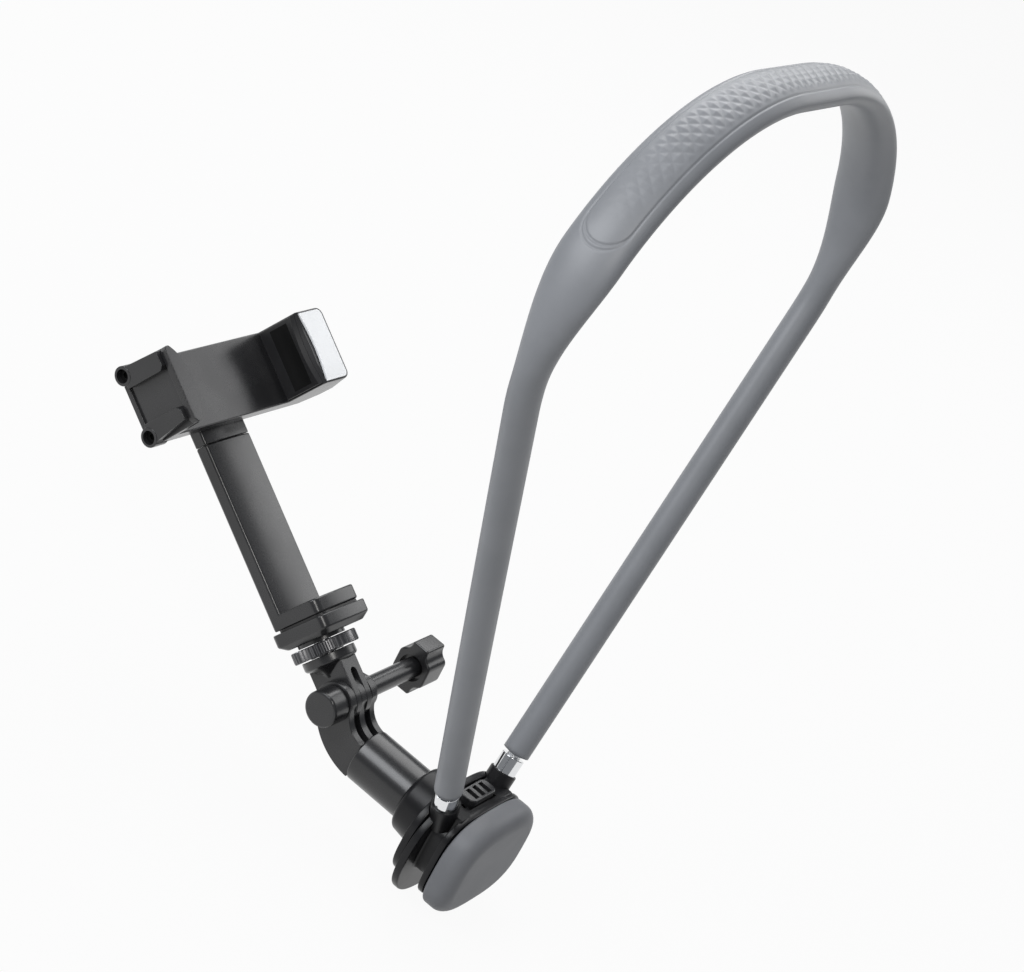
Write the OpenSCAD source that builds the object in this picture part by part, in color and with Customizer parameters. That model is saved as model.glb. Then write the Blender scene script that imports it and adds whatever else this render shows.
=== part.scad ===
// Neck-worn phone holder: a grey neck loop with a bendable core, a chest base with a cushion,
// a swivel arm with a three-prong fork, and a rotating spring clamp on a post.
// X is the wearer's right, Y points forward from the chest, Z is up.
// The origin is the centre of the chest cushion's face, and the arm swivels about the Y axis.

/* [Neck loop] */
// Half the distance between the two leg ends
leg_spread = 20.1; // [19.6:0.1:21]
// Distance of the leg ends in front of the cushion's face
leg_end_y = 18.9; // [18.4:0.1:19.2]
// Height of the leg ends above the arm's axis
leg_end_z = 24.5; // [24:0.1:26]
// Length of each straight leg
leg_len = 176.8; // [140:0.2:190]
// Outward lean of each leg from the vertical
leg_lean = 22.9; // [22:0.1:23.5]
// Forward lean of the whole loop from the vertical
loop_lean = 3.4; // [2:0.1:4]
// Radius of the shoulder bend
side_bend_r = 56.8; // [50:0.1:60]
// Angle of the shoulder bend
side_bend_angle = 55.5; // [52:0.5:57]
// Radius of the nape bend
nape_bend_r = 84.7; // [78:0.1:86]
// Radius of the round sleeve at the leg ends
sleeve_end_r = 4.8; // [4.7:0.05:5]
// Radius of the round sleeve at the top of the legs
sleeve_top_r = 5.0; // [4.8:0.05:5.4]
// Half the width of the flat nape band
band_half_w = 10.0; // [8:0.1:12]
// Half the thickness of the flat nape band
band_half_t = 4.6; // [4.2:0.1:5.4]
// Length over which the round sleeve flares into the band
flare_len = 41; // [34:1:48]
// Radius of the bendable metal core
core_r = 2.4; // [2:0.1:2.6]
// Radius of the chrome ferrule on each leg end
ferrule_r = 4.2; // [4:0.05:4.3]

/* [Chest base] */
// Half the width of the chest cushion
cushion_half_w = 23.4; // [22.5:0.1:25]
// Half the height of the chest cushion
cushion_half_h = 18.9; // [18:0.1:20]
// Thickness of the chest cushion
cushion_t = 9.6; // [9.3:0.1:9.7]
// Rounding of the cushion's face edge
cushion_round = 5.2; // [3:0.1:6]
// Half the width of the housing's lip behind the cushion
lip_half_w = 23.0; // [22:0.1:24]
// Half the height of the housing's lip
lip_half_h = 16.3; // [16:0.1:16.8]
// Half the width of the housing's front plate
front_half_w = 25.0; // [24:0.1:26]
// Half the height of the housing's front plate
front_half_h = 20.5; // [20:0.1:21.5]
// Half the width of the arm's quick-release plate
plate_half_w = 24.1; // [23.5:0.1:25]
// Half the height of the arm's quick-release plate
plate_half_h = 17.7; // [17:0.1:18.4]
// Travel of the release button
button_travel = 2.0; // [1.5:0.1:2.1]

/* [Swivel arm] */
// Radius of the swivel barrel
barrel_r = 9.9; // [9.4:0.1:10.4]
// Distance of the barrel's free end in front of the cushion's face
barrel_end_y = 58.8; // [57:0.2:59.6]
// Distance of the fork hinge in front of the cushion's face
hinge_y = 74.6; // [73.5:0.1:76]
// Height of the fork hinge above the barrel's axis
hinge_z = 12.9; // [12:0.1:14]
// Radius of the rounded fork prongs
prong_r = 7.5; // [7:0.1:7.6]
// Thickness of one prong
prong_t = 2.8; // [2.6:0.05:2.9]
// Pitch of the prongs across the fork
prong_pitch = 3.0; // [2.95:0.05:3.2]
// Radius of the thumb bolt's shank
bolt_r = 2.5; // [2.2:0.05:2.6]
// Forward tilt of the post from the vertical
arm_tilt = 57; // [50:1:64]

/* [Thumb bolt] */
// Radius of the moulded shank
thumb_shank_r = 3.7; // [3.4:0.1:4]
// Distance of the knob's inner face from the fork's middle
knob_start = 38.5; // [36:0.5:42]
// Thickness of the knob
knob_t = 11.0; // [9:0.2:12]
// Reach of the knob's two long lobes
knob_r = 9.8; // [9.2:0.1:10.4]

/* [Post] */
// Width of the post and of both foot plates
post_w = 24; // [23:0.2:25]
// Distance of the post's back from the stud's axis
post_back = 8.6; // [8.2:0.1:9.4]
// Distance of the foot plates' front edge from the stud's axis
foot_front = 14.1; // [13:0.1:15]
// Height of the post's top seam above the fork hinge
post_top = 97.4; // [92:0.2:97.6]
// Radius of the stud, a quarter-inch camera screw
stud_r = 3.175; // [3.1:0.025:3.25]
// Radius over the lock ring's knurls
lock_ring_r = 11.8; // [11:0.1:12.4]
// Knurls round the lock ring
lock_ring_knurls = 40; // [30:1:48]

/* [Phone clamp] */
// Height of the clamp's lower edge above the post's seam
clamp_rise = 4.6; // [4.2:0.1:5.2]
// Height of the clamp across the grip
clamp_h = 26.7; // [26:0.1:28]
// Distance of the clamp's front face from the stud's axis
clamp_front = 6.8; // [6.4:0.1:7.4]
// Distance from the stud's axis to the fixed jaw's inner face
fixed_jaw_x = 25.0; // [24:0.1:26]
// Distance from the stud's axis to the closed sliding jaw's inner face
slide_jaw_x = 34.6; // [34:0.1:35.2]
// Reach of the jaws in front of the stud's axis
jaw_reach = 25.0; // [23:0.1:27]
// Travel of the sliding jaw
jaw_travel = 35; // [25:1:36]
// Radius of each guide rod
rod_r = 1.3; // [1.1:0.05:1.4]

/* [Hidden] */

// Overrun of every cut, clearances of fits and gaps between neighbours
over = 1;
fit = 0.05;
gap = 0.1;
seat_gap = 0.3;
rim_chamfer = 0.6;
$fn = 72;

// Loop path: straight leg, shoulder bend, nape bend and a short straight to the middle
nape_bend_angle = 90 + leg_lean - side_bend_angle;
bend_step = 5;
sleeve_sides = 24;
bore_sides = 12;
bore_clear = 0.2;
core_below = 13;
ferrule_len = 12;
ferrule_show = 6;
flare_lead_share = 0.11;

// Base depths along Y, from the cushion's face to the arm plate's front
groove_t = 0.3;
lip_start = cushion_t + groove_t;
lip_t = 2.3;
waist_start = lip_start + lip_t;
waist_len = 6.2;
front_start = waist_start + waist_len;
front_t = 2.8;
front_end = front_start + front_t;
plate_start = front_end + fit;
plate_t = 2.75;
plate_end = plate_start + plate_t;
lip_drop = 0.3;
front_drop = 4;
cushion_drop = 1.5;
waist_half_w = 18.5;
waist_half_h = 12;
web_half_w = 16;
web_low = 8;
web_lip_z = 15.8;
web_front_z = 16.6;
carrier_half_w = 18.5;
carrier_half_h = 12;
carrier_t = 2.2;
socket_r = 4.9;
socket_len = 22;
socket_collar = 0.6;
cushion_back_share = 0.25;
cushion_bend_share = 0.66;
lip_bend_share = 0.5;
front_bend_share = 0.8;
plate_bend_share = 0.74;

// Release latch: a sprung plate whose window hooks the arm plate's spigot
spigot_r = 6.5;
spigot_start = 13.4;
latch_start = 14.9;
latch_t = 1.6;
latch_half_w = 9.4;
latch_low = 10;
groove_depth = 1.2;
latch_hook = groove_depth - gap;
latch_groove_t = 2.1;
button_half_w = 7.5;
button_start = 13.6;
button_len = 6.6;
button_low = 15;
button_top = 18.6;
button_slot_count = 4;
button_slot_w = 1.1;
button_slot_depth = 1.5;
spring_x = 4.6;
spring_y = 18.5;
spring_low = 8.4;
spring_mean_r = 1.2;
spring_wire_r = 0.25;
spring_turns = 5;
spring_bore_r = 1.6;

// Collar and barrel
collar_root_r = 14.3;
collar_tip_r = 12.9;
collar_end = 35.5;
collar_round = 1.8;
journal_r = 8;
journal_start = 27.1;
barrel_start = collar_end + seat_gap;
washer_t = 0.5;
screw_r = 2;
screw_head_r = 3.6;
screw_head_t = 3;
screw_end = 34;
bore_floor = journal_start - washer_t - fit;

// Fork, seen along X; the horn's outer curve runs on into the prongs' round end
horn_bend_y = 57.5;
horn_bend_z = 18;
horn_outer_r = norm([hinge_y - horn_bend_y, hinge_z - horn_bend_z]) + prong_r;
horn_end_angle = atan2(hinge_z - horn_bend_z, hinge_y - horn_bend_y);
horn_inner_r = 9.6;
horn_inner_y = 58.4;
horn_inner_z = 16.2;
slot_depth = 3.5;
slot_clear = 0.5;
slot_open_y = hinge_y - 1.6;
fork_half_w = 2 * prong_pitch + prong_t / 2;
prong_gap = 2 * prong_pitch - prong_t;
boss_r = 6.2;
boss_tip_r = 4.5;
boss_len = 4.2;
cap_r = 6.5;
cap_len = 8.2;
nut_af = 8;
nut_t = 4;
nut_start = fork_half_w + gap;
bolt_left = 13.2;
bolt_right = 24;
thumb_start = fork_half_w + boss_len + seat_gap;
knob_short_reach = 7;
scallop_r = 4.2;
scallop_y = 6.4;
scallop_z = 8.2;
knob_recess_r = 5;
knob_recess_depth = 2;

// Heights above the fork hinge along the stud's axis
neck_low = 8.3;
disc_low = 12.8;
disc_t = 3.5;
disc_r = 9.6;
stud_low = 12.4;
slot_round_z = 10;
neck_mid_shares = [1.15, 0.45];
neck_top_shares = [0.72, 0.8];
ring_low = 16.7;
ring_t = 4.2;
ring_hub_r = 6;
knurl_depth = 0.6;
foot_boss_r = 8.6;
foot_boss_low = ring_low + ring_t + seat_gap;
lower_foot_low = 22.4;
lower_foot_t = 6.5;
lower_foot_out = 1.2;
foot_low = 29.8;
foot_t = 5.2;
stud_top = 28.2;
foot_chamfer = 2.1;
foot_round = 3;
gasket_inset = 0.8;
post_crown = 1.0;
post_front = 1.9;
post_round = 1.2;
foot_screw_r = 1.25;
foot_screw_head_r = 2.3;
foot_screw_head_t = 1.6;
foot_screw_y = 6;
foot_screw_x = 7.5;
foot_screw_top = 33;
tenon_w = 13;
tenon_t = 2.8;
tenon_len = 9;
tenon_start = (post_front + post_back - tenon_t) / 2;

// Clamp
body_back = post_front - seat_gap;
clamp_low = post_top + clamp_rise;
head_rise = 13;
head_z = clamp_low + head_rise;
head_gap = 0.2;
pivot_r = 2.5;
pivot_head_r = 5;
pivot_head_t = 2;
pivot_in = 4.5;
wave_t = 0.25;
jaw_outer_x = 49;
jaw_tip_x = 40.9;
jaw_tip_inner_x = 26.3;
jaw_heel_x = 44;
jaw_knee_front = 12;
jaw_heel_front = 4;
pad_t = 1.5;
pad_low_front = 8;
body_end_x = slide_jaw_x + pad_t - seat_gap;
trench_low = 12.4;
trench_high = 20.5;
slide_trench_low = 9.4;
slide_trench_high = 15.4;
trench_depth = 1.1;
trench_half_h = 11.3;
trench_taper = 1.9;
trim_t = 0.9;
trim_bulge = 2.5;
trim_edge = 0.6;
clamp_mid = clamp_low + clamp_h / 2;
rod_offset = 11;
rod_front = 1.9;
rod_left = 38.9;
rod_right = jaw_travel + 9;
rod_screw_len = 1.8;
boss_outer_r = 3.4;
boss_hole_r = 2.4;
boss_end_x = 42.6;
slide_h = 28;
slide_back = body_back;
slide_base_t = 2;
slide_wall_t = 3;
slide_tip = 21.6;
slide_tip_half_h = 13.4;
slide_corner = 1.4;
rib_h = 7.6;
rib_tip_front = 19.1;
rib_tips = [11.1, 13.2];
rib_outer_x = 42.4;
slide_base_end_x = 40;
lip_plate_t = 2.5;
lip_outer_x = 40.6;
lip_inner_x = 38.1;
lip_bulge = 4.7;
lip_steps = 16;
jaw_spring_mean_r = 1.5;
jaw_spring_wire_r = 0.3;
jaw_spring_turns = 8;
jaw_spring_offset = 4.5;
jaw_spring_front = 3;
jaw_spring_left = -14;
jaw_spring_right = 20;
jaw_spring_bore_r = 2.2;

// Unit steps used by every outline and ring
outline_points = 48;
corner_steps = 6;
coil_sides = 6;
coil_steps = 8;

// Rounded rectangle between an ellipse and a box: half sizes and how square its corners are
function squircle(a, b, e) = [for (i = [0:outline_points - 1])
  let (t = 360 * i / outline_points, c = cos(t), s = sin(t))
  [a * sign(c) * pow(abs(c), e), b * sign(s) * pow(abs(s), e)]];

// Solid through a list of rings that have the same count of points
function ring_faces(n, m) = [for (j = [0:m - 2], i = [0:n - 1], upper = [0, 1])
  let (a = j * n + i, b = j * n + (i + 1) % n) upper == 1 ? [a, b + n, a + n] : [a, b, b + n]];
module loft(rings) {
  n = len(rings[0]);
  m = len(rings);
  first_cap = [[for (i = [0:n - 1]) n - 1 - i]];
  last_cap = [[for (i = [0:n - 1]) (m - 1) * n + i]];
  polyhedron([for (ring = rings) each ring], concat(ring_faces(n, m), first_cap, last_cap), convexity = 6);
}

// A coil spring that stands on Z: one unbroken tube with closed end faces
module coil(mean_r, wire_r, turns, height) {
  steps = turns * coil_steps;
  rise = height - 2 * wire_r;
  loft([for (k = [0:steps])
    let (a = 360 * k / coil_steps, z = wire_r + rise * k / steps)
    [for (i = [0:coil_sides - 1]) let (q = -360 * i / coil_sides)
      [(mean_r + wire_r * cos(q)) * cos(a), (mean_r + wire_r * cos(q)) * sin(a), z + wire_r * sin(q)]]]);
}

// Plate of a flat outline that stands across Y, from one depth to another
module slab(start, end) {
  translate([0, end, 0]) rotate([90, 0, 0]) linear_extrude(end - start) children();
}

// Solid of revolution whose Z axis lies along Y
module along_y() {
  rotate([-90, 0, 0]) children();
}

// Solid of revolution whose Z axis lies along X
module along_x() {
  rotate([0, 90, 0]) children();
}

// Frame of a leg end: Z runs up the leg
module leg_frame(side) {
  if (side > 0) {
    translate([leg_spread, leg_end_y, leg_end_z]) rotate([-loop_lean, 0, 0]) rotate([0, leg_lean, 0]) children();
  } else {
    mirror([1, 0, 0]) leg_frame(1) children();
  }
}

// Frame of the loop: X across, Z up in the leaning plane, from the line through the leg ends
module loop_frame() {
  translate([0, leg_end_y, leg_end_z]) rotate([-loop_lean, 0, 0]) children();
}

// Frame of the post: Z runs up the stud's axis from the fork hinge, and the phone is on the -Y side
module post_frame() {
  translate([0, hinge_y, hinge_z]) rotate([-arm_tilt, 0, 0]) children();
}

// Neck loop path. A place is [x, z], and a heading is measured from the vertical, outwards
function arc_centre(p, r, h) = p + r * [-cos(h), sin(h)];
function arc_point(c, r, h) = c + r * [cos(h), -sin(h)];
leg_top = [leg_spread + leg_len * sin(leg_lean), leg_len * cos(leg_lean)];
side_centre = arc_centre(leg_top, side_bend_r, leg_lean);
side_end_heading = leg_lean - side_bend_angle;
side_end = arc_point(side_centre, side_bend_r, side_end_heading);
nape_centre = arc_centre(side_end, nape_bend_r, side_end_heading);
side_len = side_bend_r * side_bend_angle * PI / 180;
nape_len = nape_bend_r * nape_bend_angle * PI / 180;
flare_start = leg_len + side_len - flare_len;

function smooth(t) = let (c = min(max(t, 0), 1)) c * c * (3 - 2 * c);
function flare(s) = smooth((s - flare_start + flare_lead_share * flare_len) / flare_len);
function sleeve_r(s) = sleeve_end_r + (sleeve_top_r - sleeve_end_r) * min(s / leg_len, 1);
function half_w(s) = sleeve_r(s) + (band_half_w - sleeve_r(s)) * flare(s);
function half_t(s) = sleeve_r(s) + (band_half_t - sleeve_r(s)) * flare(s);

// Stations along half the loop: [place, heading, length so far]
side_steps = ceil(side_bend_angle / bend_step);
nape_steps = ceil(nape_bend_angle / bend_step);
half_stations = concat(
  [[[leg_spread, 0], leg_lean, 0]],
  [for (k = [0:side_steps]) let (a = side_bend_angle * k / side_steps, h = leg_lean - a)
    [arc_point(side_centre, side_bend_r, h), h, leg_len + side_len * k / side_steps]],
  [for (k = [1:nape_steps]) let (a = nape_bend_angle * k / nape_steps, h = side_end_heading - a)
    [arc_point(nape_centre, nape_bend_r, h), h, leg_len + side_len + nape_len * k / nape_steps]]);
half_count = len(half_stations);
loop_stations = concat(half_stations, [for (i = [0:half_count - 1])
  let (s = half_stations[half_count - 1 - i]) [[-s[0][0], s[0][1]], -180 - s[1], s[2]]]);

// One ring of the sleeve across its path
function loop_ring(station, w, t, sides) = let (p = station[0], h = station[1])
  [for (i = [0:sides - 1]) let (q = 360 * i / sides, out = t * sin(q))
    [p[0] + out * cos(h), w * cos(q), p[1] - out * sin(h)]];

module neck_sleeve() {
  outer = [for (s = loop_stations) loop_ring(s, half_w(s[2]), half_t(s[2]), sleeve_sides)];
  bore_r = core_r + bore_clear;
  inner = [for (s = loop_stations) loop_ring(s, bore_r, bore_r, bore_sides)];
  m = len(loop_stations);
  outer_count = m * sleeve_sides;
  ratio = sleeve_sides / bore_sides;
  outer_faces = ring_faces(sleeve_sides, m);
  inner_faces = [for (f = ring_faces(bore_sides, m)) [for (i = [2:-1:0]) outer_count + f[i]]];
  end_faces = [for (e = [0, m - 1], i = [0:bore_sides - 1])
    let (j = (i + 1) % bore_sides, a = outer_count + e * bore_sides + i, b = outer_count + e * bore_sides + j,
      c = [for (k = [0:ratio]) e * sleeve_sides + (i * ratio + k) % sleeve_sides],
      face = concat([b, a], c))
    e == 0 ? [for (k = [len(face) - 1:-1:0]) face[k]] : face];
  color("slategray") loop_frame()
    polyhedron([for (ring = concat(outer, inner)) each ring], concat(outer_faces, inner_faces, end_faces),
      convexity = 8);
}

// Bendable metal core: it runs on below the sleeve, through the ferrules and into the base
module neck_core() {
  start = [[leg_spread - core_below * sin(leg_lean), -core_below * cos(leg_lean)], leg_lean, -core_below];
  finish = [[-start[0][0], start[0][1]], -180 - leg_lean, -core_below];
  color("silver") loop_frame()
    loft([for (s = concat([start], loop_stations, [finish])) loop_ring(s, core_r, core_r, bore_sides)]);
}

module ferrule(side) {
  color("gainsboro") leg_frame(side) difference() {
    translate([0, 0, -ferrule_len]) cylinder(ferrule_len - fit, ferrule_r, ferrule_r);
    translate([0, 0, -ferrule_len - over]) cylinder(ferrule_len + 2 * over, core_r + fit, core_r + fit);
  }
}

// Cushion: a flat face on the chest, a soft rounded rim and sides that draw in to the back
module chest_cushion() {
  back_round = cushion_back_share * cushion_round;
  face_steps = 6;
  rims = concat(
    [for (k = [0:face_steps]) let (t = 90 * k / face_steps)
      [cushion_round * (1 - cos(t)), cushion_round * (1 - sin(t))]],
    [for (k = [0:2]) let (t = 45 * k)
      [cushion_t - back_round * (1 - sin(t)), back_round * (1 - cos(t))]]);
  color("dimgray") translate([0, 0, -cushion_drop])
    loft([for (r = rims) [for (p = squircle(cushion_half_w - r[1], cushion_half_h - r[1], cushion_bend_share))
      [p[0], r[0], p[1]]]]);
}

module cushion_carrier() {
  color("#202022") translate([0, 0, -lip_drop])
    slab(cushion_t + fit, cushion_t + fit + carrier_t)
      polygon(squircle(carrier_half_w, carrier_half_h, lip_bend_share));
}

// Socket that holds a ferrule, with a thin collar where the ferrule enters
module socket_body(side) {
  leg_frame(side) translate([0, 0, -socket_len]) {
    cylinder(socket_len - ferrule_show, socket_r, socket_r);
    translate([0, 0, socket_len - ferrule_show - socket_collar])
      cylinder(socket_collar, socket_r, socket_r - socket_collar / 2);
  }
}

module base_housing() {
  color("#1c1c1e") difference() {
    union() {
      translate([0, 0, -lip_drop]) slab(lip_start, waist_start)
        polygon(squircle(lip_half_w, lip_half_h, lip_bend_share));
      translate([0, 0, -lip_drop]) slab(waist_start - fit, front_start + fit)
        polygon(squircle(waist_half_w, waist_half_h, lip_bend_share));
      translate([0, 0, -front_drop]) slab(front_start, front_end)
        polygon(squircle(front_half_w, front_half_h, front_bend_share));
      translate([-web_half_w, 0, 0]) rotate([90, 0, 90]) linear_extrude(2 * web_half_w)
        polygon([[lip_start + lip_t / 2, web_low], [lip_start + lip_t / 2, web_lip_z],
          [front_end, web_front_z], [front_end, web_low]]);
      for (side = [-1, 1]) socket_body(side);
    }
    translate([0, 0, -lip_drop]) slab(lip_start - over, cushion_t + fit + carrier_t + fit)
      polygon(squircle(carrier_half_w + gap, carrier_half_h + gap, lip_bend_share));
    for (side = [-1, 1]) leg_frame(side) {
      translate([0, 0, -ferrule_len - fit]) cylinder(ferrule_len, ferrule_r + fit, ferrule_r + fit);
      translate([0, 0, -core_below - 2 * fit]) cylinder(core_below, core_r + fit, core_r + fit);
    }
    translate([0, spigot_start - gap, 0]) along_y() cylinder(front_end, spigot_r + fit, spigot_r + fit);
    translate([-latch_half_w - gap, latch_start - gap, -latch_low - button_travel - gap])
      cube([2 * (latch_half_w + gap), latch_t + 2 * gap, latch_low + button_travel + button_top]);
    translate([-button_half_w - seat_gap, button_start - seat_gap, button_low - button_travel - seat_gap])
      cube([2 * (button_half_w + seat_gap), button_len + 2 * seat_gap, button_top]);
    for (side = [-1, 1]) translate([side * spring_x, spring_y, spring_low - fit])
      cylinder(button_low, spring_bore_r, spring_bore_r, $fn = 32);
  }
}

// Space round a socket in the plate behind it
module socket_relief(side, margin) {
  leg_frame(side) translate([0, 0, -socket_len - margin])
    cylinder(socket_len + margin, socket_r + margin, socket_r + margin);
}

module release_button() {
  rib_step = 2 * button_half_w / (button_slot_count + 1);
  color("#161618") difference() {
    union() {
      translate([-button_half_w, button_start, button_low])
        cube([2 * button_half_w, button_len, button_top - button_low - rim_chamfer]);
      translate([-button_half_w + rim_chamfer, button_start + rim_chamfer, button_low])
        cube([2 * (button_half_w - rim_chamfer), button_len - 2 * rim_chamfer, button_top - button_low]);
    }
    for (k = [1:button_slot_count])
      translate([-button_half_w + k * rib_step - button_slot_w / 2, button_start + button_slot_w,
        button_top - button_slot_depth])
        cube([button_slot_w, button_len - 2 * button_slot_w, button_slot_depth + over]);
  }
}

module latch_plate() {
  color("silver") difference() {
    translate([-latch_half_w, latch_start, -latch_low])
      cube([2 * latch_half_w, latch_t, latch_low + button_low - fit - button_travel - seat_gap]);
    for (z = [latch_hook, button_travel]) translate([0, latch_start - over, z]) along_y()
      cylinder(latch_t + 2 * over, spigot_r + gap, spigot_r + gap);
    translate([-spigot_r - gap, latch_start - over, latch_hook])
      cube([2 * (spigot_r + gap), latch_t + 2 * over, button_travel - latch_hook]);
  }
  color("silver") translate([-button_half_w + button_slot_w, latch_start, button_low - fit - button_travel - over])
    cube([2 * (button_half_w - button_slot_w), latch_t, button_travel + over]);
}

module button_springs() {
  color("lightgray") for (side = [-1, 1]) translate([side * spring_x, spring_y, spring_low])
    coil(spring_mean_r, spring_wire_r, spring_turns, button_low - fit - spring_low);
}

// Arm plate with its collar, and the spigot that the latch hooks
module arm_plate() {
  color("#1b1b1d") difference() {
    union() {
      slab(plate_start, plate_end)
        polygon(squircle(plate_half_w, plate_half_h, plate_bend_share));
      translate([0, plate_end, 0]) along_y() rotate_extrude()
        polygon([[0, 0], [collar_root_r, 0], [collar_tip_r, collar_end - plate_end - collar_round],
          [collar_tip_r - collar_round * (1 - cos(45)), collar_end - plate_end - collar_round * (1 - sin(45))],
          [collar_tip_r - collar_round, collar_end - plate_end], [0, collar_end - plate_end]]);
      translate([0, spigot_start, 0]) along_y() cylinder(plate_end - spigot_start, spigot_r, spigot_r);
    }
    translate([0, latch_start - (latch_groove_t - latch_t) / 2, 0]) along_y() difference() {
      cylinder(latch_groove_t, spigot_r + over, spigot_r + over);
      translate([0, 0, -over]) cylinder(latch_groove_t + 2 * over, spigot_r - groove_depth, spigot_r - groove_depth);
    }
    translate([0, bore_floor, 0]) along_y() cylinder(collar_end, journal_r + fit, journal_r + fit);
    translate([0, spigot_start - over, 0]) along_y() cylinder(collar_end, screw_r + gap, screw_r + gap);
    translate([0, spigot_start - over, 0]) along_y()
      cylinder(screw_head_t + 2 * over, screw_head_r + gap, screw_head_r + gap);
    for (side = [-1, 1]) socket_relief(side, seat_gap);
  }
}

module pivot_screw() {
  head_end = spigot_start + screw_head_t + over - fit;
  color("silver") difference() {
    union() {
      translate([0, head_end - screw_head_t, 0]) along_y() cylinder(screw_head_t, screw_head_r, screw_head_r);
      translate([0, head_end - over, 0]) along_y() cylinder(screw_end - head_end + over, screw_r, screw_r);
    }
    translate([0, head_end - screw_head_t - over, 0]) along_y() cylinder(screw_head_t / 2 + over, screw_r, screw_r, $fn = 6);
  }
}

module friction_washer() {
  color("gray") translate([0, bore_floor + fit / 2, 0]) along_y() difference() {
    cylinder(washer_t, journal_r - gap, journal_r - gap);
    translate([0, 0, -over]) cylinder(washer_t + 2 * over, screw_r + gap, screw_r + gap);
  }
}

// Swivel arm: barrel, curved horn and three prongs, with a boss that the thumb bolt bears on
module horn() {
  wedge_r = 2 * horn_outer_r;
  difference() {
    intersection() {
      translate([-fork_half_w, horn_bend_y, horn_bend_z]) along_x()
        cylinder(2 * fork_half_w, horn_outer_r, horn_outer_r, $fn = 144);
      translate([-fork_half_w - over, 0, 0]) rotate([90, 0, 90]) linear_extrude(2 * (fork_half_w + over))
        polygon([[horn_bend_y, horn_bend_z], [horn_bend_y, horn_bend_z - wedge_r],
          [horn_bend_y + wedge_r, horn_bend_z - wedge_r],
          [horn_bend_y + wedge_r * cos(horn_end_angle), horn_bend_z + wedge_r * sin(horn_end_angle)]]);
    }
    translate([-fork_half_w - over, horn_inner_y, horn_inner_z]) along_x()
      cylinder(2 * (fork_half_w + over), horn_inner_r, horn_inner_r);
  }
}

module swivel_arm() {
  color("#232326") difference() {
    union() {
      translate([0, journal_start, 0]) along_y() cylinder(barrel_start - journal_start + over, journal_r, journal_r);
      translate([0, barrel_start, 0]) along_y() rotate_extrude()
        polygon([[0, 0], [barrel_r - rim_chamfer / 2, 0], [barrel_r, rim_chamfer / 2],
          [barrel_r, barrel_end_y - barrel_start - rim_chamfer], [barrel_r - rim_chamfer, barrel_end_y - barrel_start],
          [0, barrel_end_y - barrel_start]]);
      horn();
      translate([-fork_half_w, hinge_y, hinge_z]) along_x() cylinder(2 * fork_half_w, prong_r, prong_r);
      translate([fork_half_w, hinge_y, hinge_z]) along_x() rotate_extrude()
        polygon([[0, -over], [boss_r, -over], [boss_r, boss_len / 2], [boss_tip_r, boss_len], [0, boss_len]]);
    }
    for (side = [-1, 1]) translate([side * prong_pitch - prong_gap / 2, 0, 0]) prong_slot();
    translate([-fork_half_w - over, hinge_y, hinge_z]) along_x()
      cylinder(2 * fork_half_w + boss_len + 2 * over, bolt_r + fit, bolt_r + fit);
    translate([0, journal_start - over, 0]) along_y() cylinder(screw_end - journal_start + 2 * over, screw_r + fit, screw_r + fit);
  }
}

// Space between two prongs: round the hinge, down the horn's inner curve to the barrel's rim,
// and out through the underside of the horn's end, which lets the adapter tilt down
module prong_slot() {
  translate([0, hinge_y, hinge_z]) along_x() cylinder(prong_gap, prong_r + slot_clear, prong_r + slot_clear);
  intersection() {
    translate([0, horn_inner_y, horn_inner_z]) along_x()
      cylinder(prong_gap, horn_inner_r + slot_depth, horn_inner_r + slot_depth);
    translate([0, barrel_end_y, 0]) cube([prong_gap, horn_outer_r, 2 * horn_outer_r]);
  }
  translate([0, slot_open_y, hinge_z - horn_outer_r]) cube([prong_gap, horn_outer_r, horn_outer_r]);
}

module hinge_nut() {
  color("silver") translate([-nut_start - nut_t, hinge_y, hinge_z]) along_x() difference() {
    cylinder(nut_t, nut_af / 2 / cos(30), nut_af / 2 / cos(30), $fn = 6);
    translate([0, 0, -over]) cylinder(nut_t + 2 * over, bolt_r + fit, bolt_r + fit);
  }
}

module nut_cap() {
  hex_r = (nut_af / 2 + fit) / cos(30);
  color("#242427") translate([-fork_half_w - fit, hinge_y, hinge_z]) rotate([0, -90, 0]) difference() {
    rotate_extrude() polygon([[0, 0], [cap_r, 0], [cap_r, cap_len - rim_chamfer], [cap_r - rim_chamfer, cap_len], [0, cap_len]]);
    translate([0, 0, -over]) cylinder(nut_t + gap + over, hex_r, hex_r, $fn = 6);
    translate([0, 0, -over]) cylinder(bolt_left - fork_half_w + over, bolt_r + gap, bolt_r + gap);
  }
}

module thumb_bolt() {
  color("silver") translate([-bolt_left, hinge_y, hinge_z]) along_x() cylinder(bolt_left + bolt_right, bolt_r, bolt_r);
}

// Knob outline: two long and two short lobes with a hollow between each two
module knob_outline() {
  difference() {
    square([2 * knob_r, 2 * knob_short_reach], center = true);
    for (x = [-1, 1], y = [-1, 1]) translate([x * scallop_z, y * scallop_y]) circle(scallop_r, $fn = 48);
  }
}

module thumb_knob() {
  color("#27272a") translate([0, hinge_y, hinge_z]) along_x() difference() {
    union() {
      translate([0, 0, thumb_start]) cylinder(knob_start - thumb_start + knob_t / 2, thumb_shank_r, thumb_shank_r);
      difference() {
        union() {
          translate([0, 0, knob_start]) linear_extrude(knob_t) offset(delta = -rim_chamfer) knob_outline();
          translate([0, 0, knob_start + rim_chamfer]) linear_extrude(knob_t - 2 * rim_chamfer) knob_outline();
        }
        translate([0, 0, knob_start - over]) cylinder(knob_recess_depth + over, knob_recess_r, knob_recess_r);
      }
    }
    translate([0, 0, thumb_start - over])
      cylinder(bolt_right - thumb_start + over + fit, bolt_r + fit, bolt_r + fit);
  }
}

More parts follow.
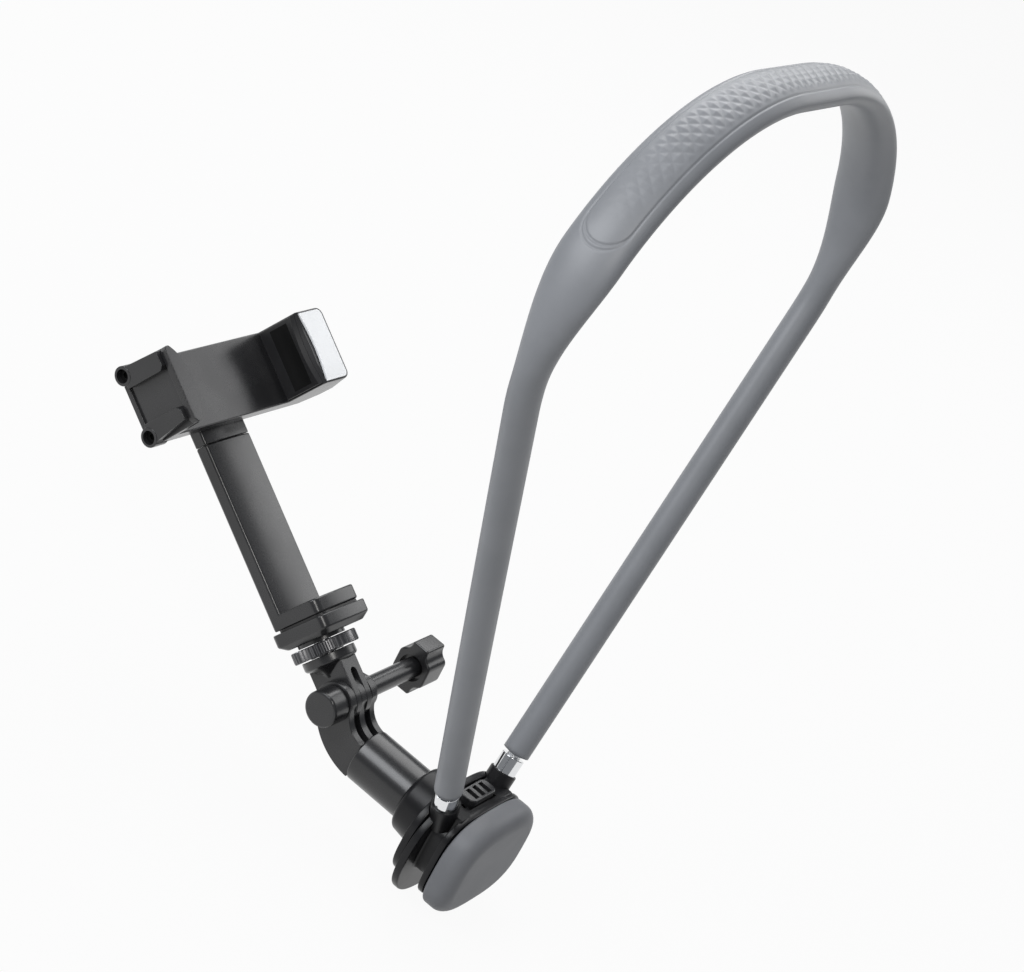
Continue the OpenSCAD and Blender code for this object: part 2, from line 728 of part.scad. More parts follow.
// Adapter: two prongs, a waisted neck and the disc under the lock ring
module fork_adapter() {
  half = prong_pitch + prong_t / 2;
  neck_len = disc_low - neck_low;
  color("#242427") post_frame() difference() {
    union() {
      translate([-half, 0, 0]) along_x() cylinder(2 * half, prong_r, prong_r);
      translate([-half, -prong_r, 0]) cube([2 * half, 2 * prong_r, disc_low + over]);
      translate([0, 0, neck_low]) rotate_extrude()
        polygon([[0, 0], [half, 0], [half * neck_mid_shares[0], neck_len * neck_mid_shares[1]],
          [disc_r * neck_top_shares[0], neck_len * neck_top_shares[1]], [disc_r - rim_chamfer, neck_len],
          [disc_r, neck_len + rim_chamfer], [disc_r, neck_len + disc_t], [0, neck_len + disc_t]]);
    }
    translate([-prong_gap / 2, -prong_r - over, -prong_r - over])
      cube([prong_gap, 2 * (prong_r + over), slot_round_z + prong_r + over]);
    translate([0, -prong_r - over, slot_round_z]) along_y()
      cylinder(2 * (prong_r + over), prong_gap / 2, prong_gap / 2, $fn = 32);
    translate([-half - over, 0, 0]) along_x() cylinder(2 * (half + over), bolt_r + fit, bolt_r + fit);
    translate([0, 0, stud_low - fit]) cylinder(disc_low + disc_t, stud_r + fit, stud_r + fit);
  }
}

module camera_stud() {
  color("silver") post_frame() translate([0, 0, stud_low]) cylinder(stud_top - stud_low, stud_r, stud_r);
}

function knurls(r) = [for (i = [0:4 * lock_ring_knurls - 1]) let (a = 90 * i / lock_ring_knurls)
  (i % 4 < 2 ? r : r - knurl_depth) * [cos(a), sin(a)]];

module lock_ring() {
  color("#3a3a3d") post_frame() translate([0, 0, ring_low]) difference() {
    union() {
      linear_extrude(ring_t) polygon(knurls(lock_ring_r));
      translate([0, 0, disc_low + disc_t + gap - ring_low]) cylinder(ring_low - disc_low - disc_t, ring_hub_r, ring_hub_r);
    }
    translate([0, 0, -over]) cylinder(ring_t + 2 * over, stud_r + fit, stud_r + fit);
  }
}

// Foot outline seen from above, with its corners rounded
function foot_outline(inset) = let (x = post_w / 2 - inset, f = -foot_front + inset, b = post_back - inset,
    r = foot_round, middles = [[x - r, b - r], [r - x, b - r], [r - x, f + r], [x - r, f + r]])
  [for (i = [0:3], k = [0:corner_steps]) let (a = 90 * (i + k / corner_steps)) middles[i] + r * [cos(a), sin(a)]];

module lower_foot() {
  color("#1f1f22") post_frame() difference() {
    union() {
      hull() {
        translate([0, 0, lower_foot_low]) linear_extrude(fit) polygon(foot_outline(foot_chamfer - lower_foot_out));
        translate([0, 0, lower_foot_low + foot_chamfer]) linear_extrude(lower_foot_t - foot_chamfer)
          polygon(foot_outline(-lower_foot_out));
      }
      translate([0, 0, foot_boss_low]) cylinder(lower_foot_low - foot_boss_low + over, foot_boss_r, foot_boss_r);
    }
    translate([0, 0, foot_boss_low - over]) cylinder(stud_top - foot_boss_low + over + fit, stud_r + fit, stud_r + fit);
    for (x = [-1, 1]) foot_screw_hole(x, lower_foot_low);
  }
}

module foot_screw_hole(side, low) {
  translate([side * foot_screw_x, foot_screw_y, low - over])
    cylinder(foot_screw_top - low + over + fit, foot_screw_r + fit, foot_screw_r + fit, $fn = 32);
  translate([side * foot_screw_x, foot_screw_y, lower_foot_low - over])
    cylinder(foot_screw_head_t + over + fit, foot_screw_head_r + fit, foot_screw_head_r + fit, $fn = 32);
}

module foot_gasket() {
  color("#101012") post_frame() difference() {
    translate([0, 0, lower_foot_low + lower_foot_t + fit])
      linear_extrude(foot_low - lower_foot_low - lower_foot_t - 2 * fit) polygon(foot_outline(gasket_inset));
    for (x = [-1, 1]) foot_screw_hole(x, lower_foot_low);
  }
}

module foot_screws() {
  color("silver") post_frame() for (side = [-1, 1]) translate([side * foot_screw_x, foot_screw_y, lower_foot_low]) {
    cylinder(foot_screw_head_t, foot_screw_head_r, foot_screw_head_r, $fn = 32);
    cylinder(foot_screw_top - lower_foot_low, foot_screw_r, foot_screw_r, $fn = 32);
  }
}

// Section of the post: square back corners and a crowned front
function post_section() = let (x = post_w / 2, b = post_back, f = post_front, n = 8)
  concat([[x - post_round, b], [x, b - post_round]],
    [for (k = [0:n]) let (u = 1 - 2 * k / n) [x * u, f + post_crown * u * u]],
    [[-x, b - post_round], [-x + post_round, b]]);

// Post and its foot are one L-shaped moulding
module post() {
  color("#2a2a2d") post_frame() difference() {
    union() {
      translate([0, 0, foot_low]) linear_extrude(post_top - foot_low) polygon(post_section());
      translate([0, 0, foot_low]) linear_extrude(foot_t - rim_chamfer) polygon(foot_outline(0));
      translate([0, 0, foot_low]) linear_extrude(foot_t) polygon(foot_outline(rim_chamfer));
    }
    translate([-tenon_w / 2 - fit, tenon_start - fit, post_top - tenon_len - fit])
      cube([tenon_w + 2 * fit, tenon_t + 2 * fit, tenon_len + over]);
    for (x = [-1, 1]) foot_screw_hole(x, foot_low);
  }
}

// Head on the post's top: it carries the clamp's pivot
module pivot_head() {
  head_low = post_top + head_gap;
  half = post_w / 2;
  color("#29292c") post_frame() difference() {
    union() {
      translate([0, 0, head_low]) linear_extrude(head_z - head_low) polygon(post_section());
      translate([0, post_back, head_z]) rotate([90, 0, 0])
        cylinder(post_back - post_front, half, half);
      translate([-tenon_w / 2, tenon_start, post_top - tenon_len])
        cube([tenon_w, tenon_t, tenon_len + over]);
    }
    translate([0, post_back + over, head_z]) rotate([90, 0, 0]) {
      cylinder(post_back + 2 * over, pivot_r + fit, pivot_r + fit);
      cylinder(pivot_head_t + wave_t + 2 * fit + over, pivot_head_r + gap, pivot_head_r + gap);
    }
  }
}

module head_screw() {
  color("silver") post_frame() translate([0, post_back, head_z]) rotate([90, 0, 0]) difference() {
    union() {
      cylinder(pivot_head_t, pivot_head_r, pivot_head_r);
      cylinder(post_back + pivot_in, pivot_r, pivot_r);
    }
    translate([0, 0, -over]) cylinder(pivot_head_t / 2 + over, pivot_r / 2, pivot_r / 2, $fn = 6);
  }
}

module wave_washer() {
  color("gray") post_frame() translate([0, post_back - pivot_head_t - fit / 2, head_z]) rotate([90, 0, 0]) difference() {
    cylinder(wave_t, pivot_head_r - gap, pivot_head_r - gap);
    translate([0, 0, -over]) cylinder(wave_t + 2 * over, pivot_r + gap, pivot_r + gap);
  }
}

// Outline of the clamp body seen from above: X across the grip, Y negative towards the phone
function body_outline() = concat(
  [[-body_end_x, body_back], [jaw_heel_x, body_back], [jaw_outer_x, -jaw_heel_front],
    [jaw_outer_x, -jaw_knee_front], [jaw_tip_x, -jaw_reach], [jaw_tip_inner_x, -jaw_reach],
    [fixed_jaw_x + pad_t, -clamp_front - pad_t], [fixed_jaw_x + pad_t, -clamp_front]],
  [[-body_end_x, -clamp_front]]);

module clamp_body() {
  mid = clamp_mid;
  color("#303033") post_frame() difference() {
    translate([0, 0, clamp_low]) linear_extrude(clamp_h) polygon(body_outline());
    for (side = [-1, 1]) translate([-body_end_x - over, -rod_front, mid + side * rod_offset]) along_x()
      cylinder(body_end_x + rod_right + over + gap, rod_r + fit, rod_r + fit, $fn = 32);
    for (side = [-1, 1]) translate([-body_end_x - over, -jaw_spring_front, mid + side * jaw_spring_offset]) along_x()
      cylinder(body_end_x + jaw_spring_right + over + gap, jaw_spring_bore_r, jaw_spring_bore_r, $fn = 32);
    translate([0, body_back + over, head_z]) rotate([90, 0, 0])
      cylinder(body_back + pivot_in + over + fit, pivot_r + fit, pivot_r + fit);
    translate([0, 0, clamp_low + trim_edge]) linear_extrude(clamp_h - 2 * trim_edge)
      polygon([[jaw_tip_inner_x + pad_t, -jaw_reach - over], [jaw_tip_x - trim_edge + fit, -jaw_reach - over],
        [jaw_tip_x - trim_edge + fit, -jaw_reach + trim_t + fit], [jaw_tip_inner_x + pad_t, -jaw_reach + trim_t + fit]]);
    pad_slot();
  }
}

// Pocket on the fixed jaw's inner face for its rubber pad
module pad_slot() {
  translate([fixed_jaw_x - over, -jaw_reach - over, clamp_low + trim_edge])
    cube([pad_t + over + fit, jaw_reach + over - pad_low_front, clamp_h - 2 * trim_edge]);
}

// Bright plate on the jaw's tip, with a bulged inner edge
module jaw_trim() {
  n = 10;
  low = clamp_low + trim_edge + fit;
  high = clamp_low + clamp_h - trim_edge - fit;
  inner = jaw_tip_inner_x + pad_t + fit;
  bulge = [for (k = [0:n]) let (t = k / n) [inner + trim_bulge * 4 * t * (1 - t), high + (low - high) * t]];
  color("whitesmoke") post_frame() translate([0, -jaw_reach + trim_t, 0]) rotate([90, 0, 0]) linear_extrude(trim_t)
    polygon(concat([[jaw_tip_x - trim_edge, low], [jaw_tip_x - trim_edge, high]], bulge));
}

// Pocket with sloped ends that holds the phone's edge, cut into a face towards +X
function trench_ring(x, low, high, half_h) =
  [[x, -low, clamp_mid - half_h], [x, -high, clamp_mid - half_h], [x, -high, clamp_mid + half_h], [x, -low, clamp_mid + half_h]];
module trench(face_x, low, high) {
  loft([trench_ring(face_x - over, low, high, trench_half_h), trench_ring(face_x, low, high, trench_half_h),
    trench_ring(face_x + trench_depth, low + trench_taper, high - trench_taper, trench_half_h - trench_taper)]);
}

module fixed_jaw_pad() {
  color("#0c0c0d") post_frame() difference() {
    translate([fixed_jaw_x, -jaw_reach, clamp_low + trim_edge + fit])
      cube([pad_t, jaw_reach - pad_low_front - fit, clamp_h - 2 * (trim_edge + fit)]);
    trench(fixed_jaw_x, trench_low, trench_high);
  }
}

// Sliding jaw: an upright wall that carries two ribs, two tubular bosses and a bulged lip at its tip
module sliding_jaw() {
  half = slide_h / 2;
  wall_x = slide_jaw_x + pad_t;
  back = slide_back;
  wall_tip = slide_tip - lip_plate_t;
  color("#2b2b2e") post_frame() difference() {
    union() {
      translate([-wall_x - slide_wall_t, 0, clamp_mid]) rotate([90, 0, 90]) linear_extrude(slide_wall_t)
        polygon([[back, -half], [back, half], [-wall_tip, slide_tip_half_h], [-wall_tip, -slide_tip_half_h]]);
      translate([-slide_base_end_x, back - slide_base_t, clamp_mid - half + rib_h / 2])
        cube([slide_base_end_x - wall_x, slide_base_t, slide_h - rib_h]);
      for (i = [0, 1]) let (side = 2 * i - 1) translate([-rib_outer_x, 0, clamp_mid])
        rotate([90, 0, 90]) linear_extrude(rib_outer_x - wall_x)
        polygon([[-rod_front, side * (half - rib_h)], [-rod_front, side * half], [-rib_tip_front, side * rib_tips[i]],
          [-rib_tip_front, side * (half - rib_h + slide_corner)], [slide_corner - rib_tip_front, side * (half - rib_h)]]);
      for (side = [-1, 1]) intersection() {
        translate([-boss_end_x, -rod_front, clamp_mid + side * rod_offset]) along_x()
          cylinder(boss_end_x - wall_x, boss_outer_r, boss_outer_r, $fn = 48);
        translate([-boss_end_x, -slide_tip, clamp_mid - slide_h]) cube([boss_end_x, slide_tip + back + gap, 2 * slide_h]);
      }
      slide_lip();
    }
    for (side = [-1, 1]) translate([-boss_end_x - over, -rod_front, clamp_mid + side * rod_offset]) along_x() {
      cylinder(boss_end_x, rod_r + fit, rod_r + fit, $fn = 32);
      cylinder(boss_end_x - rod_left + over, boss_hole_r, boss_hole_r, $fn = 32);
    }
  }
}

// Lip at the sliding jaw's tip: straight outside and bulged towards the phone
module slide_lip() {
  half = slide_tip_half_h;
  bulge = [for (k = [0:lip_steps]) let (t = 1 - 2 * k / lip_steps)
    [-lip_inner_x + lip_bulge * (1 - pow(abs(t), 3)), t * half]];
  translate([0, lip_plate_t + fit - slide_tip, clamp_mid]) rotate([90, 0, 0]) linear_extrude(lip_plate_t + fit)
    polygon(concat([[-lip_outer_x, slide_corner - half], [-lip_outer_x, half - slide_corner], [-lip_outer_x + slide_corner, half]],
      bulge, [[-lip_outer_x + slide_corner, -half]]));
}

module sliding_jaw_pad() {
  low = clamp_mid - slide_tip_half_h + trim_edge;
  color("#0c0c0d") post_frame() mirror([1, 0, 0]) difference() {
    translate([slide_jaw_x, lip_plate_t - slide_tip + fit, low])
      cube([pad_t - fit, slide_tip - lip_plate_t - fit - clamp_front - seat_gap, 2 * (slide_tip_half_h - trim_edge)]);
    trench(slide_jaw_x, slide_trench_low, slide_trench_high);
  }
}

module guide_rods() {
  color("silver") post_frame() for (side = [-1, 1]) translate([-rod_left + fit, -rod_front, clamp_mid + side * rod_offset])
    along_x() cylinder(rod_left + rod_right - fit, rod_r, rod_r, $fn = 32);
}

module rod_screws() {
  head_r = boss_hole_r - gap;
  color("gray") post_frame() for (side = [-1, 1])
    translate([-rod_left - rod_screw_len, -rod_front, clamp_mid + side * rod_offset]) along_x() difference() {
      cylinder(rod_screw_len, head_r, head_r, $fn = 32);
      translate([0, 0, -over]) cylinder(rod_screw_len / 2 + over, head_r / 2, head_r / 2, $fn = 6);
    }
}

module jaw_springs() {
  color("lightgray") post_frame() for (side = [-1, 1])
    translate([jaw_spring_left, -jaw_spring_front, clamp_mid + side * jaw_spring_offset]) along_x()
      coil(jaw_spring_mean_r, jaw_spring_wire_r, jaw_spring_turns, jaw_spring_right - jaw_spring_left);
}

neck_sleeve();
neck_core();
ferrule(-1);  // ferrule_left
ferrule(1);  // ferrule_right
chest_cushion();
cushion_carrier();
base_housing();
release_button();
latch_plate();
button_springs();
arm_plate();
pivot_screw();
friction_washer();
swivel_arm();
hinge_nut();
nut_cap();
thumb_bolt();
thumb_knob();
fork_adapter();
camera_stud();
lock_ring();
lower_foot();
foot_gasket();
foot_screws();
post();
pivot_head();
head_screw();
wave_washer();
clamp_body();
jaw_trim();
fixed_jaw_pad();
sliding_jaw();
sliding_jaw_pad();
guide_rods();
jaw_springs();
rod_screws();
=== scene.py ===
import math

import bmesh
import bpy
from mathutils import Matrix, Vector


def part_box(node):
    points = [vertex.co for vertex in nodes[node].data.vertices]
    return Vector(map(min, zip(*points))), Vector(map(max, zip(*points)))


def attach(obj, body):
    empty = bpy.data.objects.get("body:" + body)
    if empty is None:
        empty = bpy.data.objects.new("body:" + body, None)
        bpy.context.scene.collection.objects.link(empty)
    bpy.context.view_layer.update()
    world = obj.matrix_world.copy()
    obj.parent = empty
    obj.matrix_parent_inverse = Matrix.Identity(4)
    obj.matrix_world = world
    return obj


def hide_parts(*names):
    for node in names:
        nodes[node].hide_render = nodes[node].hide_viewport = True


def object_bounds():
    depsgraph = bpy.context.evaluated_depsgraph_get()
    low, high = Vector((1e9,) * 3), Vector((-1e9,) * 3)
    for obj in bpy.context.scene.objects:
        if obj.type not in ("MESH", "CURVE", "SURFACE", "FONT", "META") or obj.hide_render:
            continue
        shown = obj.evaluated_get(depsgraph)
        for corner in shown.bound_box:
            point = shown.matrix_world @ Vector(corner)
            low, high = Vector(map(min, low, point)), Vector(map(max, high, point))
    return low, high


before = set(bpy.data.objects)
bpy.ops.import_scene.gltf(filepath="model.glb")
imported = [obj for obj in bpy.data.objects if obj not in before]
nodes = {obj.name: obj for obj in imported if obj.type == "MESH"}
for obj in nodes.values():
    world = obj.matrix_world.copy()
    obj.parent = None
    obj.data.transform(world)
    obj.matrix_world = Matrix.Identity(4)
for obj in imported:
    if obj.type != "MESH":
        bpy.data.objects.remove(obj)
cad_low, cad_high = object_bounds()
scene = bpy.context.scene
mm = 0.001

# The photographer's place: the camera looks down on the wearer's left side of the holder.
# It is rolled, so the post leans left and the neck loop leans right across the picture.
camera_place = Vector((-0.6651, -0.2134, 0.4846))
camera_right = Vector((0.5286, -0.7428, 0.4110)).normalized()
camera_back = Vector((-0.8248, -0.3349, 0.4556)).normalized()
camera_up = camera_back.cross(camera_right).normalized()
camera_lens = 88.82
camera_data = bpy.data.cameras.new("camera")
camera_data.lens = camera_lens
camera_data.sensor_width = 36
camera_data.clip_start = 0.01
camera = bpy.data.objects.new("camera", camera_data)
camera.matrix_world = Matrix.Translation(camera_place) @ Matrix(
    (camera_right, camera_up, camera_back)).transposed().to_4x4()
scene.collection.objects.link(camera)
scene.camera = camera
scene.view_settings.view_transform = "Standard"


# The neck loop's sleeve is one moulding in soft grey silicone over a bendable core.
# It is round on the legs, flares into a flat band over the nape, and a grip panel with a
# rounded groove and raised diamonds is moulded into the band's outer face.
class Socket:
    """A node's output. Sums on it add Math nodes to its tree, and node() adds any other node."""

    def __init__(self, socket):
        self.socket = socket

    def node(self, kind, inputs=None, output=0, **settings):
        tree = self.socket.id_data
        made = tree.nodes.new(kind)
        for name, value in settings.items():
            setattr(made, name, value)
        for name, value in (inputs or {}).items():
            if isinstance(value, Socket):
                tree.links.new(value.socket, made.inputs[name])
            else:
                made.inputs[name].default_value = value
        return Socket(made.outputs[output])

    def math(self, operation, *others):
        kind = "ShaderNodeMath"
        return self.node(kind, dict(enumerate((self, *others))), operation=operation)

    def __add__(self, other):
        return self.math("ADD", other)

    __radd__ = __add__

    def __mul__(self, other):
        return self.math("MULTIPLY", other)

    __rmul__ = __mul__

    def __sub__(self, other):
        return self.math("SUBTRACT", other)

    def __rsub__(self, other):
        return self * -1 + other

    def __truediv__(self, other):
        return self.math("DIVIDE", other)

    def part(self, axis):
        return self.node("ShaderNodeSeparateXYZ", {0: self}, output=axis)

    def smooth(self, low, high):
        """0 below low, 1 above high and a soft step between them."""
        return self.node("ShaderNodeMapRange", {"Value": self, "From Min": low, "From Max": high},
                         interpolation_type="SMOOTHSTEP")


def blank_tree(owner):
    """Emptied node tree of a new material or world."""
    owner.use_nodes = True
    owner.node_tree.nodes.clear()
    return owner.node_tree


def shown(surface, kind="ShaderNodeOutputMaterial"):
    """Makes a surface the one that its material or world shows."""
    tree = surface.socket.id_data
    tree.links.new(surface.socket, tree.nodes.new(kind).inputs["Surface"])


def moulded(name, colour, shade, roughness, grain, grain_height, mottle=0.05, **finish):
    """Material of one moulding: its colour drifts to a shade, and a fine mould grain breaks up its gloss."""
    material = bpy.data.materials.new(name)
    place = Socket(blank_tree(material).nodes.new("ShaderNodeTexCoord").outputs["Object"])
    fine = place.node("ShaderNodeTexNoise", {"Vector": place, "Scale": 1 / grain, "Detail": 4.0})
    broad = place.node("ShaderNodeTexNoise", {"Vector": place, "Scale": 70.0, "Detail": 3.0})
    drift = broad.smooth(0.35, 0.65)
    tint = place.node("ShaderNodeMix", {0: drift, 6: (*colour, 1), 7: (*shade, 1)}, output=2,
                      data_type="RGBA")
    rough = (fine - 0.5) * mottle + (broad - 0.5) * mottle + roughness
    relief = place.node("ShaderNodeBump", {"Height": fine, "Strength": 0.5, "Distance": grain_height})
    surface = place.node("ShaderNodeBsdfPrincipled",
                         {"Base Color": tint, "Roughness": rough, "Normal": relief, **finish})
    shown(surface)
    return material


def settled(piece):
    """The piece with its modifiers worked into a plain mesh."""
    graph = bpy.context.evaluated_depsgraph_get()
    mesh = bpy.data.meshes.new_from_object(piece.evaluated_get(graph))
    piece.modifiers.clear()
    piece.data = mesh
    return piece


def new_piece(name, mesh):
    piece = bpy.data.objects.new(name, mesh)
    scene.collection.objects.link(piece)
    return piece


def sized_tree(name, taken, sizes, given):
    """Geometry Nodes tree that takes a geometry and named sizes and gives one geometry."""
    tree = bpy.data.node_groups.new(name, "GeometryNodeTree")
    tree.interface.new_socket(taken, in_out="INPUT", socket_type="NodeSocketGeometry")
    for size_name in sizes:
        tree.interface.new_socket(size_name, in_out="INPUT", socket_type="NodeSocketFloat")
    tree.interface.new_socket(given, in_out="OUTPUT", socket_type="NodeSocketGeometry")
    entry = tree.nodes.new("NodeGroupInput")
    return tree, {socket.name: Socket(socket) for socket in entry.outputs if socket.name}


def grid_of(given, columns, rows):
    """Grid, its corners' own position, and the column and row that each corner stands in."""
    grid = given.node("GeometryNodeMeshGrid", {
        "Size X": float(columns - 1), "Size Y": float(rows - 1), "Vertices X": columns, "Vertices Y": rows})
    cell = given.node("GeometryNodeInputPosition")
    return grid, cell, cell.part(0) + (columns - 1) / 2, cell.part(1) + (rows - 1) / 2


def grown(piece, tree, sizes, grid, place, merge, material):
    """Puts the grid's corners in their place, closes it and works it into the piece, faces outwards."""
    placed = grid.node("GeometryNodeSetPosition", {"Geometry": grid, "Position": place})
    closed = grid.node("GeometryNodeMergeByDistance", {"Geometry": placed, "Distance": merge})
    smoothed = grid.node("GeometryNodeSetShadeSmooth", {"Geometry": closed, "Shade Smooth": True})
    real = grid.node("GeometryNodeRealizeInstances", {"Geometry": smoothed})
    skinned = grid.node("GeometryNodeSetMaterial", {"Geometry": real, "Material": material})
    tree.links.new(skinned.socket, tree.nodes.new("NodeGroupOutput").inputs[0])
    growth = piece.modifiers.new(tree.name, "NODES")
    growth.node_group = tree
    for item in tree.interface.items_tree:
        if item.name in sizes:
            growth[item.identifier] = sizes[item.name]
    settled(piece)
    shape = bmesh.new()
    shape.from_mesh(piece.data)
    bmesh.ops.recalc_face_normals(shape, faces=shape.faces)
    shape.to_mesh(piece.data)
    shape.free()


silicone = moulded("silicone", (0.205, 0.213, 0.228), (0.192, 0.200, 0.214), 0.47,
                   0.25 * mm, 0.006 * mm,
                   **{"Coat Weight": 0.12, "Coat Roughness": 0.32, "Sheen Weight": 0.08})

leg_spread, leg_end_y, leg_end_z = 20.1 * mm, 18.9 * mm, 24.5 * mm
leg_len, leg_lean, loop_lean = 176.8 * mm, math.radians(22.9), math.radians(3.4)
side_bend_r, side_bend_angle = 56.8 * mm, math.radians(55.5)
nape_bend_r = 84.7 * mm
nape_bend_angle = math.pi / 2 + leg_lean - side_bend_angle
side_len, nape_len = side_bend_r * side_bend_angle, nape_bend_r * nape_bend_angle
bent_len = leg_len + side_len + nape_len


def loop_point(distance):
    """Place on the loop's own plane, across and up, at a distance along it from the right leg's end."""
    straight = min(distance, leg_len)
    x = leg_spread + straight * math.sin(leg_lean)
    z = straight * math.cos(leg_lean)
    heading = leg_lean
    for radius, angle, start in ((side_bend_r, side_bend_angle, leg_len),
                                 (nape_bend_r, nape_bend_angle, leg_len + side_len)):
        turned = min(max((distance - start) / radius, 0), angle)
        x += radius * (math.cos(heading - turned) - math.cos(heading))
        z += radius * (math.sin(heading) - math.sin(heading - turned))
        heading -= turned
    return x - max(distance - bent_len, 0), z


half_len = bent_len + max(loop_point(bent_len)[0], 0)
loop_matrix = Matrix.Translation((0, leg_end_y, leg_end_z)) @ Matrix.Rotation(-loop_lean, 4, "X")
path_step = 1.5 * mm
half_steps = math.ceil(half_len / path_step)
half_path = [loop_point(half_len * k / half_steps) for k in range(half_steps + 1)]
loop_path = half_path + [(-x, z) for x, z in reversed(half_path[:-1])]
path_mesh = bpy.data.meshes.new("neck_sleeve")
path_mesh.from_pydata([loop_matrix @ Vector((x, 0, z)) for x, z in loop_path],
                      [(k, k + 1) for k in range(len(loop_path) - 1)], [])
neck_sleeve = new_piece("neck_sleeve_skin", path_mesh)

sleeve_sizes = {
    "Loop length": 2 * half_len,
    "Leg end radius": 4.8 * mm,
    "Leg top radius": 5.0 * mm,
    "Leg length": leg_len,
    "Band half width": 10.0 * mm,
    "Band half thickness": 4.6 * mm,
    "Flare start": leg_len + side_len - 45.5 * mm,
    "Flare end": leg_len + side_len - 4.5 * mm,
    "Panel half length": 100 * mm,
    "Panel half width": 7.1 * mm,
    "Groove half width": 0.42 * mm,
    "Groove depth": 0.28 * mm,
    "Groove pair gap": 1.5 * mm,
    "Diamond length": 4.3 * mm,
    "Diamond width": 5.2 * mm,
    "Diamond height": 0.46 * mm,
    "Diamond reach": 100 * mm,
}
sleeve_tree, size_of = sized_tree("sleeve_over_path", "Path", sleeve_sizes, "Sleeve")
path = size_of["Path"]

# Columns run along the loop and rows round it; both lie closer together on the grip panel
leg_columns, panel_columns, panel_reach = 150, 700, 104 * mm
leg_step, panel_step = (half_len - panel_reach) / leg_columns, 2 * panel_reach / panel_columns
panel_rows, back_rows = 60, 40
panel_arc = math.radians(122)
column_count = 2 * leg_columns + panel_columns + 1
row_count = panel_rows + back_rows + 1
grid, _, column, row = grid_of(path, column_count, row_count)
in_panel = (column - leg_columns).math("MAXIMUM", 0).math("MINIMUM", panel_columns)
along = (column - in_panel) * leg_step + in_panel * panel_step
top_rows = (row - back_rows / 2).math("MAXIMUM", 0).math("MINIMUM", panel_rows)
back_arc = 2 * math.pi - panel_arc
angle = (row - top_rows) * (back_arc / back_rows) + top_rows * (panel_arc / panel_rows) - math.pi / 2

curve = path.node("GeometryNodeMeshToCurve", {"Mesh": path})
end_gap = 0.01 * mm
sample = {"Curves": curve,
          "Length": along.math("MAXIMUM", end_gap).math("MINIMUM", 2 * half_len - end_gap)}
centre = path.node("GeometryNodeSampleCurve", sample, output=1, mode="LENGTH")
heading = path.node("GeometryNodeSampleCurve", sample, output=2, mode="LENGTH")

from_end = along.math("MINIMUM", size_of["Loop length"] - along)
to_top = (from_end / size_of["Leg length"]).math("MINIMUM", 1.0)
round_r = size_of["Leg end radius"] + (size_of["Leg top radius"] - size_of["Leg end radius"]) * to_top
flare = from_end.smooth(size_of["Flare start"], size_of["Flare end"])
half_w = round_r + (size_of["Band half width"] - round_r) * flare
half_t = round_r + (size_of["Band half thickness"] - round_r) * flare
cosine, sine = angle.math("COSINE"), angle.math("SINE")

# Signed distances to the panel's outline, which has round ends
beyond_middle = (along - size_of["Loop length"] * 0.5).math("ABSOLUTE")
across = half_w * cosine
across_far = across.math("ABSOLUTE")


def outline_distance(grow_end):
    run = beyond_middle - (size_of["Panel half length"] - size_of["Panel half width"] + grow_end)
    run = run.math("MAXIMUM", 0.0)
    return (run * run + across * across).math("SQRT") - size_of["Panel half width"]


def groove(distance):
    return 1 - (distance.math("ABSOLUTE") / size_of["Groove half width"]).smooth(0.15, 1.0)


on_face = sine.smooth(0.05, 0.2)
outer_groove = groove(outline_distance(size_of["Groove pair gap"]))
grooves = groove(outline_distance(0.0)).math("MAXIMUM", outer_groove * 0.75) * on_face
lean_a = beyond_middle / size_of["Diamond length"] + across / size_of["Diamond width"]
lean_b = beyond_middle / size_of["Diamond length"] - across / size_of["Diamond width"]
facets = lean_a.math("PINGPONG", 0.5).math("MINIMUM", lean_b.math("PINGPONG", 0.5)) * 2
strong_along = 1 - (beyond_middle / size_of["Diamond reach"]).smooth(0.55, 0.98)
strong_across = 1 - (across_far / size_of["Panel half width"]).smooth(0.5, 0.92)
diamonds = facets * strong_along * strong_across * on_face
lift = diamonds * size_of["Diamond height"] - grooves * size_of["Groove depth"]

end_round = 0.6 * mm
closing = 1 - (from_end / end_round).math("MINIMUM", 1.0)
pole = from_end.math("GREATER_THAN", 0.001 * mm)
shrink = (1 - closing * closing * 0.12) * pole
out_w = half_w * cosine * shrink + half_t * cosine * lift / half_w
out_t = half_t * sine * shrink + lift * on_face
loop_side = loop_matrix.to_3x3() @ Vector((0, 1, 0))


def vector(operation, first, second, taken=1):
    return heading.node("ShaderNodeVectorMath", {0: first, taken: second}, operation=operation)


outward = vector("CROSS_PRODUCT", loop_side, heading)
on_side = vector("ADD", centre, vector("SCALE", loop_side, out_w, "Scale"))
place = vector("ADD", on_side, vector("SCALE", outward, out_t, "Scale"))
grown(neck_sleeve, sleeve_tree, sleeve_sizes, grid, place, 0.005 * mm, silicone)
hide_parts("neck_sleeve")
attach(neck_sleeve, "neck_and_base")


# The two ferrules are short turned tubes in bright chrome, pressed over the core.
# They stand between the sleeve's ends and the housing's sockets, and every sharp rim is broken.
def walled(rings):
    """Open skin through rings of equal count, with its rows of corners."""
    shape = bmesh.new()
    rows = [[shape.verts.new(point) for point in ring] for ring in rings]
    count = len(rows[0])
    for near, far in zip(rows, rows[1:]):
        for k in range(count):
            shape.faces.new((near[k], near[(k + 1) % count], far[(k + 1) % count], far[k]))
    return shape, rows


def skinned_shape(rings):
    """Closed shape through rings in millimetres, with one flat face at each end."""
    shape, rows = walled(rings)
    shape.faces.new(rows[0])
    shape.faces.new(rows[-1])
    bmesh.ops.remove_doubles(shape, verts=shape.verts, dist=0.001)
    bmesh.ops.recalc_face_normals(shape, faces=shape.faces)
    return shape


